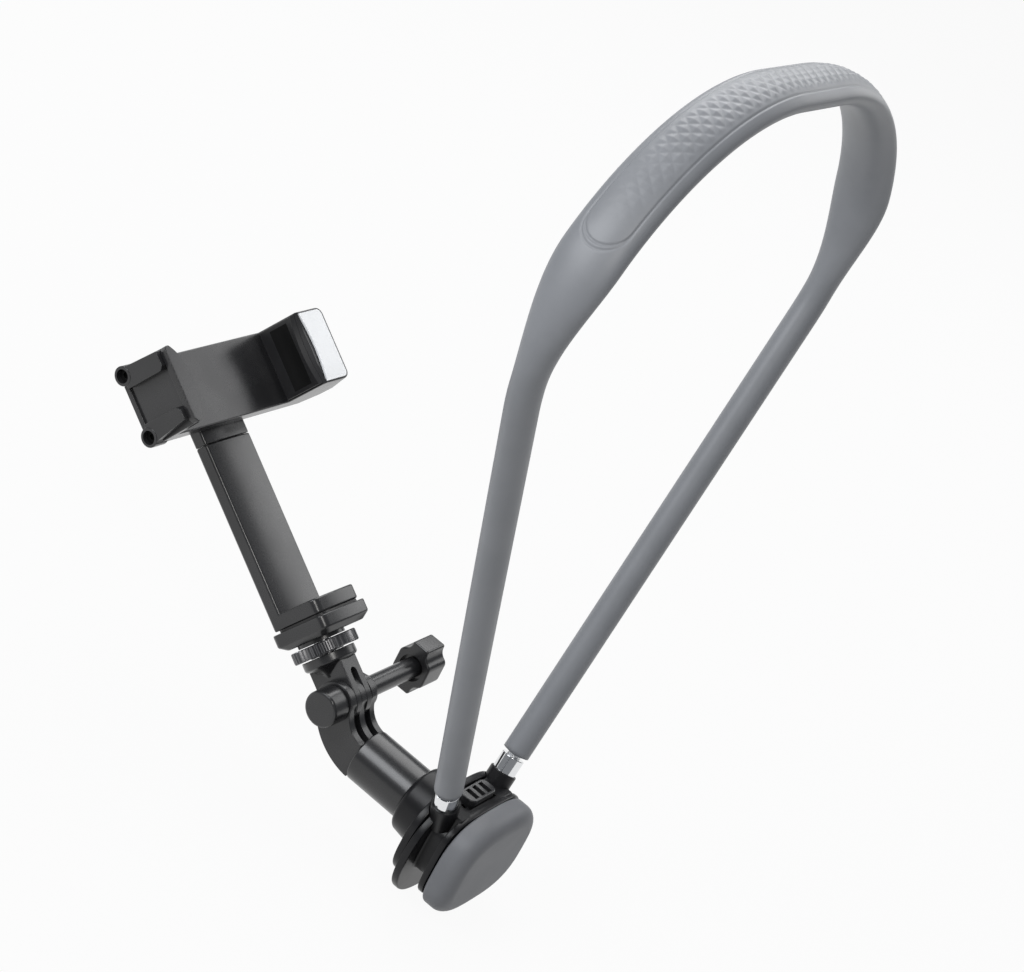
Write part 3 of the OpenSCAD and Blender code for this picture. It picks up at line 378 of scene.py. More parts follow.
def solid(name, shape, place, rounding=0.0, segments=3, least_angle=25):
    """Piece from a shape in millimetres: its sharp edges are rounded, then it is put in its place."""
    if rounding:
        sharp = [edge for edge in shape.edges if edge.calc_face_angle(0) > math.radians(least_angle)]
        bmesh.ops.bevel(shape, geom=sharp, offset=rounding, segments=segments, profile=0.5,
                        affect="EDGES", clamp_overlap=True)
    shape.transform(place)
    mesh = bpy.data.meshes.new(name)
    shape.to_mesh(mesh)
    shape.free()
    return new_piece(name, mesh)


def prism(name, outline, low, high, place, rounding=0.0, **how):
    rings = [[(*point, height) for point in outline] for height in (low, high)]
    return solid(name, skinned_shape(rings), place, rounding, **how)


def turned(name, profile, place, rounding=0.0, sides=72, **how):
    """Solid of revolution about Z. The profile runs from the foot to the top as (radius, height)."""
    turns = [2 * math.pi * k / sides for k in range(sides)]
    rings = [[(r * math.cos(turn), r * math.sin(turn), z) for turn in turns] for r, z in profile]
    return solid(name, skinned_shape(rings), place, rounding, **how)


def bar(name, radius, low, high, place, rounding=0.0, **how):
    """Round bar along Z, which is also the cutter of a bore."""
    return turned(name, [(radius, low), (radius, high)], place, rounding, **how)


def worked(base, others, operation="UNION"):
    """Joins the others to the base piece, or cuts them out of it, and throws them away."""
    for other in others:
        step = base.modifiers.new("work", "BOOLEAN")
        step.operation = operation
        step.solver = "EXACT"
        step.object = other
    settled(base)
    for other in others:
        bpy.data.objects.remove(other)
    return base


def cut(base, *others):
    return worked(base, others, "DIFFERENCE")


def stands_for(piece, name):
    """Shades a modelled piece, flat faces flat and roundings smooth, and puts it in a node's stead."""
    piece.data.shade_smooth()
    piece.data.set_sharp_from_angle(angle=math.radians(35))
    weighted = piece.modifiers.new("weighted", "WEIGHTED_NORMAL")
    weighted.keep_sharp = True
    settled(piece)
    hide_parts(name)
    return piece


def dressed(piece, material, body):
    """Gives a finished piece its one material and its body."""
    piece.data.materials.clear()
    piece.data.materials.append(material)
    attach(piece, body)
    return piece


def metal(name, colour, roughness, brushed):
    """Material of a bare or plated metal: a faint brushed streak varies its gloss."""
    material = bpy.data.materials.new(name)
    place = Socket(blank_tree(material).nodes.new("ShaderNodeTexCoord").outputs["Object"])
    streak = place.node("ShaderNodeTexNoise", {"Vector": place, "Scale": 1 / (0.6 * mm), "Detail": 2.0})
    darker = (*(0.9 * c for c in colour), 1)
    tint = place.node("ShaderNodeMix", {0: streak, 6: (*colour, 1), 7: darker}, output=2,
                      data_type="RGBA")
    rough = (streak - 0.5) * brushed + roughness
    surface = place.node("ShaderNodeBsdfPrincipled",
                         {"Base Color": tint, "Roughness": rough, "Metallic": 1.0})
    shown(surface)
    return material


chrome = metal("chrome", (0.80, 0.81, 0.82), 0.06, 0.02)
base_up = Matrix.Scale(mm, 4)
leg_places = {side: Matrix.Translation((way * leg_spread, leg_end_y, leg_end_z))
              @ Matrix.Rotation(-loop_lean, 4, "X") @ Matrix.Rotation(way * leg_lean, 4, "Y") @ base_up
              for side, way in (("left", -1), ("right", 1))}
ferrule_r, ferrule_len, ferrule_show, ferrule_rim, core_bore_r = 4.2, 12.0, 6.0, 0.25, 2.45
fit = 0.05
for side, place in leg_places.items():
    ferrule = bar(f"ferrule_{side}_skin", ferrule_r, -ferrule_len, -fit, place, ferrule_rim, sides=96)
    cut(ferrule, bar("core_bore", core_bore_r, -ferrule_len - 1, 1, place))
    dressed(stands_for(ferrule, "ferrule_" + side), chrome, "neck_and_base")


# The chest cushion is a solid silicone pad, flat on the chest with a wide soft rim.
# Its sides draw in towards the housing, and it is bonded to a carrier plate behind it.
def squircle(half_a, half_b, corner, count=96):
    """Rounded rectangle from an ellipse's rule; a smaller corner share gives squarer corners."""
    points = []
    for k in range(count):
        turn = 2 * math.pi * k / count
        c, s = math.cos(turn), math.sin(turn)
        points.append((math.copysign(half_a * abs(c) ** corner, c),
                       math.copysign(half_b * abs(s) ** corner, s)))
    return points


pad_silicone = moulded("pad_silicone", (0.180, 0.185, 0.196), (0.168, 0.173, 0.184), 0.45,
                       0.3 * mm, 0.008 * mm, **{"Specular IOR Level": 0.2})
cushion_low, cushion_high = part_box("chest_cushion")
cushion_mid = (cushion_low + cushion_high) / 2
cushion_half_w = (cushion_high.x - cushion_low.x) / 2
cushion_half_h = (cushion_high.z - cushion_low.z) / 2
cushion_t = cushion_high.y
face_round, back_round, cushion_corner, face_inset = 5.2 * mm, 1.3 * mm, 0.66, 9 * mm
rim_steps, back_steps = 12, 4


def rim_round(radius, steps):
    """A quarter round from the flat to the side, as depth and inset."""
    turns = [math.pi / 2 * k / steps for k in range(steps + 1)]
    return [(radius * (1 - math.cos(turn)), radius * (1 - math.sin(turn))) for turn in turns]


cushion_rims = [(0.0, face_round + face_inset), (0.0, face_round + face_inset / 3)]
cushion_rims += rim_round(face_round, rim_steps)
cushion_rims += [(cushion_t - inset, depth) for depth, inset in rim_round(back_round, back_steps)]
cushion_shape, cushion_rows = walled([
    [(cushion_mid.x + x, depth, cushion_mid.z + z)
     for x, z in squircle(cushion_half_w - inset, cushion_half_h - inset, cushion_corner)]
    for depth, inset in cushion_rims])
for row in (cushion_rows[0], cushion_rows[-1]):
    hub = cushion_shape.verts.new(sum((vert.co for vert in row), Vector()) / len(row))
    for k in range(len(row)):
        cushion_shape.faces.new((row[k], row[(k + 1) % len(row)], hub))
bmesh.ops.recalc_face_normals(cushion_shape, faces=cushion_shape.faces)
cushion = solid("chest_cushion_skin", cushion_shape, Matrix())
cushion.data.shade_smooth()
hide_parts("chest_cushion")
dressed(cushion, pad_silicone, "neck_and_base")


# The base housing is moulded in black plastic: a lip behind the cushion, a drawn-in waist,
# a front plate, and two sockets for the ferrules on a raised deck.
satin_black = moulded("satin_black", (0.020, 0.020, 0.021), (0.015, 0.015, 0.016), 0.28,
                      0.22 * mm, 0.004 * mm, 0.10, **{"Coat Weight": 0.15, "Coat Roughness": 0.18})
deep_black = moulded("deep_black", (0.013, 0.013, 0.014), (0.009, 0.009, 0.010), 0.30,
                     0.22 * mm, 0.004 * mm, 0.10, **{"Specular IOR Level": 0.22})
matt_black = moulded("matt_black", (0.012, 0.012, 0.013), (0.009, 0.009, 0.010), 0.42,
                     0.3 * mm, 0.006 * mm, 0.08)
# Outlines in these frames lie seen along Y and along X, and are raised along that axis
seen_along_x = Matrix(((0, 0, 1, 0), (1, 0, 0, 0), (0, 1, 0, 0), (0, 0, 0, 1)))
base_x = base_up @ seen_along_x
base_y = base_up @ Matrix(((-1, 0, 0, 0), (0, 0, 1, 0), (0, 1, 0, 0), (0, 0, 0, 1)))
lip_half_w, lip_half_h, lip_start, lip_end, lip_bend, lip_drop = 23.0, 16.3, 9.9, 12.2, 0.5, 0.3
front_half_w, front_half_h, front_start, front_end, front_bend, front_drop = 25.0, 20.5, 18.4, 21.2, 0.8, 4.0
waist_half_w, waist_half_h = 18.5, 12.0
edge_rounds = ((0.0, 0.55), (0.16, 0.16), (0.55, 0.0))
waist_fillet = ((0.0, 0.14), (0.3, 0.04), (1.0, 0.0))
web_half_w, web_low, web_lip_top, web_front_top, web_round = 16, 8, 15.8, 16.5, 0.8
socket_r, socket_len, socket_rim = 4.9, 22.0, 0.4
carrier_half_w, carrier_half_h, carrier_end = 18.6, 12.1, 11.9
spigot_seat_r, spigot_seat_start = 6.55, 13.3
latch_half_w, latch_low, latch_high, latch_start, latch_end = 9.5, -12.1, 18.5, 14.8, 16.6
button_way_half_w, button_way_low, button_way_start, button_way_end = 7.8, 12.7, 13.3, 20.5
spring_x, spring_y, spring_low, spring_high, spring_seat_r = 4.6, 18.5, 8.35, 18, 1.6
well_out = 30


def oval(half_w, half_h, bend, drop, depth):
    return [(x, z - drop, depth) for x, z in squircle(half_w, half_h, bend)]


def oblong(left, right, low, high):
    """Outline with four square corners."""
    return [(left, low), (right, low), (right, high), (left, high)]


def rounded_slab(half_w, half_h, bend, drop, start, end):
    """Rings of a plate whose two rims are rounded."""
    rims = [(start + step, inset) for step, inset in edge_rounds]
    rims += [(end - step, inset) for step, inset in reversed(edge_rounds)]
    return [oval(half_w - inset, half_h - inset, bend, drop, depth) for depth, inset in rims]


def waist_ring(share, half_w, half_h, bend, drop, depth):
    """Ring of the waist, a share of the way out to the rim of a plate."""
    return oval(waist_half_w + (half_w - waist_half_w) * share,
                waist_half_h + (half_h - waist_half_h) * share,
                lip_bend + (bend - lip_bend) * share, lip_drop + (drop - lip_drop) * share, depth)


lip_rim = (lip_half_w, lip_half_h, lip_bend, lip_drop)
front_rim = (front_half_w, front_half_h, front_bend, front_drop)
waist_rings = [waist_ring(share, *lip_rim, lip_end + step) for step, share in waist_fillet]
waist_rings += [waist_ring(share, *front_rim, front_start - step) for step, share in reversed(waist_fillet)]
housing = solid("base_housing_skin", skinned_shape(
    rounded_slab(*lip_rim, lip_start, lip_end) + waist_rings
    + rounded_slab(*front_rim, front_start, front_end)), base_y)
web_start, web_end = lip_start + 1.15, front_end - 0.1
web = prism("housing_web", [(web_start, web_low), (web_start, web_lip_top), (web_end, web_front_top),
                            (web_end, web_low)], -web_half_w, web_half_w, base_x, web_round, segments=4)
worked(housing, [web] + [bar("socket_" + side, socket_r, -socket_len, -ferrule_show, place, socket_rim)
                         for side, place in leg_places.items()])
carrier_seat = [(x, z - lip_drop) for x, z in squircle(carrier_half_w, carrier_half_h, lip_bend)]
housing_cuts = [
    prism("carrier_seat", carrier_seat, lip_start - 1, carrier_end, base_y),
    bar("spigot_seat", spigot_seat_r, spigot_seat_start, well_out, base_y),
    prism("latch_way", oblong(-latch_half_w, latch_half_w, latch_low, latch_high),
          latch_start, latch_end, base_y),
    prism("button_way", oblong(-button_way_half_w, button_way_half_w, button_way_low, well_out),
          button_way_start, button_way_end, base_y)]
for side, place in leg_places.items():
    housing_cuts += [bar("ferrule_seat_" + side, ferrule_r + fit, -ferrule_len - fit, 2, place),
                     bar("core_seat_" + side, core_bore_r, -ferrule_len - 1.1, 1 - ferrule_len, place)]
for way in (-1, 1):
    housing_cuts.append(bar(f"spring_seat_{way}", spring_seat_r, spring_low, spring_high,
                            base_up @ Matrix.Translation((way * spring_x, spring_y, 0)), sides=32))
cut(housing, *housing_cuts)
dressed(stands_for(housing, "base_housing"), deep_black, "neck_and_base")


def bare(material, *names):
    """Gives construction nodes that show as they are built their material."""
    for name in names:
        nodes[name].data.materials.clear()
        nodes[name].data.materials.append(material)


bare(matt_black, "cushion_carrier")


# The release button is a ribbed black slide on two small springs, over the latch plate.
# Pressed down, it frees the arm plate's spigot.
def arc(middle, radius, first, last, steps):
    """Points on an arc, with its angles in degrees."""
    turns = [math.radians(first + (last - first) * k / steps) for k in range(steps + 1)]
    return [(middle[0] + radius * math.cos(turn), middle[1] + radius * math.sin(turn)) for turn in turns]


steel = metal("steel", (0.55, 0.56, 0.57), 0.28, 0.12)
button_half_w, button_start, button_len, button_low, button_top = 7.5, 13.6, 6.6, 15.0, 18.6
button_corner, button_edge, button_rim = 2.4, 0.45, 0.9
slot_count, slot_w, slot_deep = 3, 2.2, 1.9
button_x = button_half_w - button_corner
button_near, button_far = button_start + button_corner, button_start + button_len - button_corner
button_corners = ((button_x, button_far), (-button_x, button_far), (-button_x, button_near),
                  (button_x, button_near))
button_outline = []
for k, corner in enumerate(button_corners):
    button_outline += arc(corner, button_corner, 90 * k, 90 * k + 90, 8)
button = prism("release_button_skin", button_outline, button_low, button_top, base_up, button_edge)
slot_step = 2 * button_half_w / (slot_count + 1)
slot_places = [-button_half_w + slot_step * (k + 1) for k in range(slot_count)]
cut(button, *[prism(f"button_slot_{k}", oblong(x - slot_w / 2, x + slot_w / 2, button_start + button_rim,
                                               button_start + button_len - button_rim),
                    button_top - slot_deep, button_top + 1, base_up) for k, x in enumerate(slot_places)])
dressed(stands_for(button, "release_button"), satin_black, "release")
bare(steel, "latch_plate", "button_springs")


# The arm plate is the half of the quick release that stays on the arm: a black moulding with a
# collar in front, and a grooved spigot behind that the latch plate hooks.
plate_half_w, plate_half_h, plate_bend, plate_start, plate_end = 24.1, 17.7, 0.74, 21.25, 24.0
collar_root_r, collar_tip_r, collar_end, collar_round, collar_steps = 14.3, 12.9, 35.5, 1.8, 5
spigot_r, spigot_neck_r, spigot_start, neck_start, neck_end = 6.5, 5.3, 13.4, 14.65, 16.75
journal_seat_r, journal_seat_start, screw_way_r, screw_seat_r, screw_seat_end = 8.05, 26.55, 2.1, 3.7, 17.4
socket_room_r, socket_room_len = 5.2, 22.3
arm_plate = solid("arm_plate_skin", skinned_shape(
    rounded_slab(plate_half_w, plate_half_h, plate_bend, 0, plate_start, plate_end)), base_y)
collar_profile = [(collar_root_r, plate_end - 1), (collar_root_r, plate_end)]
collar_profile += arc((collar_tip_r - collar_round, collar_end - collar_round), collar_round, 0, 90,
                      collar_steps)
spigot_profile = [(spigot_r, spigot_start), (spigot_r, neck_start), (spigot_neck_r, neck_start),
                  (spigot_neck_r, neck_end), (spigot_r, neck_end), (spigot_r, plate_start + 0.75)]
worked(arm_plate, [turned("plate_collar", collar_profile, base_y, sides=96),
                   turned("plate_spigot", spigot_profile, base_y)])
cut(arm_plate, bar("journal_seat", journal_seat_r, journal_seat_start, collar_end + 4.5, base_y),
    bar("screw_way", screw_way_r, spigot_start - 1.4, journal_seat_start + 1.45, base_y),
    bar("screw_seat", screw_seat_r, spigot_start - 1.4, screw_seat_end, base_y),
    *[bar("socket_room_" + side, socket_room_r, -socket_room_len, 4, place)
      for side, place in leg_places.items()])
dressed(stands_for(arm_plate, "arm_plate"), deep_black, "neck_and_base")


# The swivel arm is one black moulding that turns in the collar: a barrel on a journal, a horn
# that curves up from it, and three fork prongs round the hinge bolt, with a boss on their right.
hinge_y, hinge_z, fork_half_w, prong_r = 74.6, 12.9, 7.4, 7.5
hinge = (hinge_y, hinge_z)
hinge_place = (base_up @ Matrix.Translation((0, hinge_y, hinge_z))
               @ Matrix.Rotation(math.pi / 2, 4, "Y"))
journal_r, journal_start, barrel_r, barrel_start, barrel_end = 8.0, 27.1, 9.9, 35.8, 58.8
barrel_near_rim, barrel_far_rim, barrel_edge = 0.3, 0.6, 0.15
horn_outer, horn_outer_r, horn_inner, horn_inner_r, horn_edge = (57.5, 18.0), 25.34, (58.4, 16.2), 9.6, 0.3
boss_r, boss_tip_r, boss_mid, boss_end, boss_edge = 6.2, 4.5, 9.5, 11.6, 0.2
prong_pitch, prong_slot, slot_r, slot_deep_r = 3, 3.2, 8.0, 13.1
slot_open_y, slot_open_z, slot_far = 73, -12.4, 98
bolt_bore_r, arm_screw_bore_r, arm_screw_end = 2.55, 2.05, 34
swivel_arm = turned("swivel_arm_skin", [
    (journal_r, journal_start), (journal_r, barrel_start), (barrel_r - barrel_near_rim, barrel_start),
    (barrel_r, barrel_start + barrel_near_rim), (barrel_r, barrel_end - barrel_far_rim),
    (barrel_r - barrel_far_rim, barrel_end)], base_y, barrel_edge, sides=120)
horn_outline = (arc(horn_outer, horn_outer_r, -87.3, -16.6, 36) + arc(hinge, prong_r, -14, 151.6, 40)
                + arc(horn_inner, horn_inner_r, 0, -88.3, 24))
horn = prism("arm_horn", horn_outline, -fork_half_w, fork_half_w, base_x, horn_edge)
boss = turned("arm_boss", [(boss_r, fork_half_w - 0.2), (boss_r, boss_mid), (boss_tip_r, boss_end)],
              hinge_place, boss_edge)
worked(swivel_arm, [horn, boss])
# Room round the hinge, down the horn's inner curve, and out through the underside of its end
slot_sides = (arc(hinge, slot_r, 0, 355, 71), arc(horn_inner, slot_deep_r, -88, 88, 48),
              oblong(slot_open_y, slot_far, slot_open_z, hinge_z))
cut(swivel_arm, *[prism(f"arm_slot_{side}_{k}", outline, side * prong_pitch - prong_slot / 2,
                        side * prong_pitch + prong_slot / 2, base_x)
                  for side in (-1, 1) for k, outline in enumerate(slot_sides)],
    bar("arm_bolt_bore", bolt_bore_r, -9, 13, hinge_place),
    bar("arm_screw_bore", arm_screw_bore_r, 26, arm_screw_end, base_y))
dressed(stands_for(swivel_arm, "swivel_arm"), satin_black, "arm")
bare(steel, "pivot_screw", "friction_washer", "hinge_nut")


# The nut cap is a black plug that closes the fork's left side over the captive hinge nut.
# It is pressed in, and its rims are rounded.
cap_round, cap_merge, cap_flat, cap_sharp = 0.5 * mm, 0.006 * mm, math.radians(1), math.radians(30)
cap_mesh = nodes["nut_cap"].data.copy()
cap_shape = bmesh.new()
cap_shape.from_mesh(cap_mesh)
bmesh.ops.remove_doubles(cap_shape, verts=cap_shape.verts, dist=cap_merge)
bmesh.ops.dissolve_limit(cap_shape, angle_limit=cap_flat, verts=cap_shape.verts, edges=cap_shape.edges)
cap_shape.to_mesh(cap_mesh)
cap_shape.free()
nut_cap = new_piece("nut_cap_skin", cap_mesh)
rounding = nut_cap.modifiers.new("rounding", "BEVEL")
rounding.width = cap_round
rounding.segments = 3
rounding.limit_method = "ANGLE"
rounding.angle_limit = cap_sharp
rounding.use_clamp_overlap = False
rounding.miter_outer = "MITER_ARC"
dressed(stands_for(settled(nut_cap), "nut_cap"), satin_black, "arm")


# The thumb bolt's knob is moulded in black over a steel bolt, on the fork's right: two long lobes
# and two short ones with a hollow between each two, on a long round shank.
knob_start, knob_t, knob_long, knob_short, knob_edge = 38.5, 11.0, 9.8, 7.0, 0.7
hollow_r, hollow_y, hollow_z, long_round, short_round = 3.9, 7.4, 8.6, 0.9, 2.6
recess_r, recess_deep, shank_r, shank_start, shank_edge, knob_bore_end = 5.0, 2, 3.7, 11.9, 0.3, 24.05
long_y = hollow_y - math.sqrt((hollow_r + long_round) ** 2 - (knob_long - long_round - hollow_z) ** 2)
short_z = hollow_z - math.sqrt((hollow_r + short_round) ** 2 - (knob_short - short_round - hollow_y) ** 2)
long_turn = math.degrees(math.atan2(hollow_y - long_y, hollow_z - knob_long + long_round))
short_turn = math.degrees(math.atan2(hollow_y - knob_short + short_round, hollow_z - short_z))
lobe = (arc((knob_long - long_round, long_y), long_round, 0, long_turn, 6)
        + arc((hollow_z, hollow_y), hollow_r, long_turn - 180, short_turn - 180, 12)
        + arc((short_z, knob_short - short_round), short_round, short_turn, 90, 8))
knob_rim = (lobe + [(-x, y) for x, y in reversed(lobe)] + [(-x, -y) for x, y in lobe]
            + [(x, -y) for x, y in reversed(lobe)])
knob = prism("thumb_knob_skin", knob_rim, knob_start, knob_start + knob_t, hinge_place, knob_edge,
             least_angle=40)
cut(knob, bar("knob_recess", recess_r, knob_start - 1, knob_start + recess_deep, hinge_place))
worked(knob, [bar("knob_shank", shank_r, shank_start, knob_start + 5, hinge_place, shank_edge)])
cut(knob, bar("knob_bore", bolt_bore_r, shank_start - 1.9, knob_bore_end, hinge_place))
dressed(stands_for(knob, "thumb_knob"), satin_black, "thumb_screw")
bare(steel, "thumb_bolt")


# The fork adapter is moulded in one with a disc: two prongs with a round-topped slot between them.
# It carries the camera stud.
post_place = (base_up @ Matrix.Translation((0, hinge_y, hinge_z))
              @ Matrix.Rotation(math.radians(-57), 4, "X"))
# Outlines drawn in these frames lie seen along X and along Y, and are raised along that axis
along_x = post_place @ seen_along_x
along_y = post_place @ Matrix(((1, 0, 0, 0), (0, 0, -1, 0), (0, 1, 0, 0), (0, 0, 0, 1)))
adapter_half, adapter_gap, slot_top, adapter_edge, neck_edge = 4.4, 3.2, 7.3, 0.4, 0.3
neck_profile = [(4.4, 8.3), (5.06, 10.3), (6.9, 11.9)]
disc_low, disc_top, disc_r, disc_lip_r, disc_lip = 12.8, 16.3, 9.6, 9.0, 0.6
stud_r, stud_seat = 3.225, 12.35
adapter_side = arc((0, 0), prong_r, 180, 360, 36) + [(prong_r, disc_low + 1), (-prong_r, disc_low + 1)]
adapter = prism("fork_adapter_skin", adapter_side, -adapter_half, adapter_half, along_x, adapter_edge)
disc_profile = [(disc_lip_r, disc_low), (disc_r, disc_low + disc_lip), (disc_r, disc_top)]
worked(adapter, [turned("adapter_neck", neck_profile + disc_profile, post_place, neck_edge,
                        least_angle=40)])
adapter_slot = arc((0, slot_top), adapter_gap / 2, 0, 180, 12) + [(-adapter_gap / 2, -9),
                                                                   (adapter_gap / 2, -9)]
cut(adapter, prism("adapter_slot", adapter_slot, -9, 9, along_y),
    bar("adapter_bolt_hole", bolt_bore_r, -6, 6, along_x),
    bar("adapter_stud_hole", stud_r, stud_seat, disc_top + 1.7, post_place))
dressed(stands_for(adapter, "fork_adapter"), satin_black, "adapter")
bare(steel, "camera_stud")


# The lock ring is turned aluminium with forty knurls, anodised black, with its rims broken.
# It runs on the camera stud between the adapter's disc and the lower foot.
anodised = metal("anodised", (0.15, 0.15, 0.155), 0.34, 0.08)
ring_low, ring_top, ring_r, ring_hub_r, ring_hub_low = 16.7, 20.9, 11.8, 6.0, 16.4
ring_step, rim_break = 1.6, 0.35
ring_section = [(stud_r, ring_hub_low), (ring_hub_r, ring_hub_low), (ring_hub_r, ring_low),
                (ring_r - ring_step, ring_low), (ring_r - rim_break, ring_low),
                (ring_r, ring_low + rim_break), (ring_r, ring_top - rim_break),
                (ring_r - rim_break, ring_top), (ring_r - ring_step, ring_top), (stud_r, ring_top)]
section_mesh = bpy.data.meshes.new("lock_ring")
section_mesh.from_pydata([(r * mm, 0, z * mm) for r, z in ring_section + ring_section[:1]], [], [])
lock_ring = new_piece("lock_ring_skin", section_mesh)
ring_sizes = {"Knurls": 40.0, "Knurl depth": 0.55 * mm, "Rim radius": ring_r * mm, "Knurled band": 0.9 * mm}
ring_tree, ring_of = sized_tree("knurled_ring", "Section", ring_sizes, "Ring")
section = ring_of["Section"]
points_per_knurl, section_count = 8, len(ring_section) + 1
turn_count = int(ring_sizes["Knurls"]) * points_per_knurl
ring_grid, cell, column, row = grid_of(section, turn_count + 1, section_count)
turn = column * (2 * math.pi / turn_count)
drawn = section.node("GeometryNodeSampleIndex", {"Geometry": section, "Value": cell, "Index": row},
                     data_type="FLOAT_VECTOR")
drawn_r = drawn.part(0)
wave = (turn * ring_of["Knurls"] / (2 * math.pi)).math("PINGPONG", 0.5) * 2
valley = wave.smooth(0.38, 0.62)
band = ring_of["Knurled band"]
at_rim = drawn_r.smooth(ring_of["Rim radius"] - band, ring_of["Rim radius"] - band * 0.5)
knurled_r = drawn_r - valley * at_rim * ring_of["Knurl depth"]
ring_point = drawn.node("ShaderNodeCombineXYZ", {
    0: knurled_r * turn.math("COSINE"), 1: knurled_r * turn.math("SINE"), 2: drawn.part(2)})
grown(lock_ring, ring_tree, ring_sizes, ring_grid, ring_point, 0.003 * mm, anodised)
lock_ring.data.transform(post_place @ Matrix.Scale(1 / mm, 4))
dressed(stands_for(lock_ring, "lock_ring"), anodised, "locking_ring")


# The lower foot is a black block with chamfered edges and a round boss, which runs on the camera
# stud. Two screws hold it to the post's foot, over a thin gasket.
foot_crown, crown_steps = 0.6, 8


def plate_outline(inset, front=14.1, back=8.6, half_w=12.0, corner=3.0):
    """Foot plate seen from above, with rounded corners and a crowned front."""
    x, f, b = half_w - inset - corner, -front + inset + corner + foot_crown, back - inset - corner
    shares = [2 * k / crown_steps - 1 for k in range(1, crown_steps)]
    crown = [(x * share, f - corner - foot_crown * (1 - share ** 2)) for share in shares]
    return (arc((x, b), corner, 0, 90, 8) + arc((-x, b), corner, 90, 180, 8)
            + arc((-x, f), corner, 180, 270, 8) + crown + arc((x, f), corner, 270, 360, 8))


foot_low, foot_top, foot_out, foot_chamfer, foot_edge = 22.4, 28.9, -1.2, 2.1, 0.45
foot_boss_r, foot_boss_low, foot_bore_end = 8.6, 21.2, 28.25
foot_screw_x, foot_screw_y, foot_screw_r, foot_screw_end = 7.5, 6, 2.35, 24.05
foot_rings = ((foot_chamfer + foot_out, foot_low), (foot_out, foot_low + foot_chamfer), (foot_out, foot_top))
lower_foot = solid("lower_foot_skin", skinned_shape(
    [[(*point, height) for point in plate_outline(inset)] for inset, height in foot_rings]),
    post_place, foot_edge, least_angle=30)
worked(lower_foot, [bar("foot_boss", foot_boss_r, foot_boss_low, foot_low + 1, post_place)])
cut(lower_foot, bar("foot_bore", stud_r, foot_boss_low - 1.2, foot_bore_end, post_place),
    *[bar(f"foot_screw_hole_{k}", foot_screw_r, foot_boss_low - 0.2, foot_screw_end,
          post_place @ Matrix.Translation((side * foot_screw_x, foot_screw_y, 0)), sides=32)
      for k, side in enumerate((-1, 1))])
dressed(stands_for(lower_foot, "lower_foot"), satin_black, "post_body")
bare(matt_black, "foot_gasket")
bare(steel, "foot_screws")


# The post is an L-shaped black moulding: a tall back with a crowned front whose long edges are
# rounded, and a foot plate at its lower end.
post_half, post_front, post_back, post_crown, post_corner, edge_r = 12.0, 1.9, 8.6, 1.0, 1.2, 1.1
post_low, post_top, post_foot_top, post_round, post_foot_round = 29.8, 97.4, 35.0, 0.45, 0.7
front_steps, edge_turn, edge_steps = 12, 82, 6


def post_section():
    reach = 1 - edge_r / post_half
    corner_y = post_front + post_crown * reach ** 2 + edge_r
    shares = [reach * (1 - 2 * k / front_steps) for k in range(1, front_steps)]
    front = (arc((post_half - edge_r, corner_y), edge_r, 0, -edge_turn, edge_steps)
             + [(post_half * share, post_front + post_crown * share * share) for share in shares]
             + arc((edge_r - post_half, corner_y), edge_r, edge_turn - 180, -180, edge_steps))
    return ([(post_half - post_corner, post_back), (post_half, post_back - post_corner)] + front
            + [(-post_half, post_back - post_corner), (-post_half + post_corner, post_back)])


post = prism("post_skin", post_section(), post_low, post_top, post_place, post_round)
worked(post, [prism("post_foot", plate_outline(0), post_low, post_foot_top, post_place,
                    post_foot_round, segments=4)])
dressed(stands_for(post, "post"), satin_black, "post_body")


# The pivot head is a black moulding that a tenon and a seam join to the post's top.
# Its round end carries the clamp's pivot screw, whose head is sunk in the back.
head_z, head_low, head_edge, head_round_edge = 115.0, 97.6, 0.35, 0.5
tenon_half_w, tenon_len, tenon_back, tenon_front = 6.5, 8, -6.6, -3.9
head_recess_r, head_recess_end = 5.1, -6.25
at_pivot = along_y @ Matrix.Translation((0, head_z, 0))
pivot_head = prism("pivot_head_skin", post_section(), head_low, head_z, post_place, head_edge)
worked(pivot_head, [prism("head_round", arc((0, head_z), post_half, 0, 360, 95)[:-1], -post_back,
                          -post_front, along_y, head_round_edge)])
worked(pivot_head, [prism("head_tenon", oblong(-tenon_half_w, tenon_half_w, -tenon_len, 1), tenon_back,
                          tenon_front, along_y @ Matrix.Translation((0, head_low, 0)))])
cut(pivot_head, bar("head_bore", bolt_bore_r, -10, 0, at_pivot),
    bar("head_recess", head_recess_r, -10, head_recess_end, at_pivot))
dressed(stands_for(pivot_head, "pivot_head"), satin_black, "post_body")


# The clamp body is one black moulding with the fixed jaw on its right, hollow where the guide rods
# and the jaw springs run. Its tip is cut back to a curved lead-in for the phone's edge.
clamp_low, clamp_h, clamp_front, clamp_back, body_end = 102.0, 26.7, 6.8, 1.6, 35.8
clamp_high, clamp_mid = clamp_low + clamp_h, clamp_low + clamp_h / 2
fixed_inner, pad_t, jaw_tip, jaw_reach = 25.0, 1.5, 40.9, 25.0
jaw_heel, jaw_outer, jaw_outer_back, jaw_outer_front, jaw_mouth = 44.0, 49.0, -4, -12, 1.3
tip_corner, seat_corner, body_edge = 2.6, 2.0, 0.5
trim_edge, trim_t, trim_in = 0.6, 0.9, 2.8
pivot_bore_end, rod_bore_r, rod_bore_end, spring_bore_r, spring_bore_end = 4.55, 1.35, 44.1, 2.2, 20.1
rod_depth, rod_rise, spring_depth, spring_rise = -1.9, 11, -3, 4.5
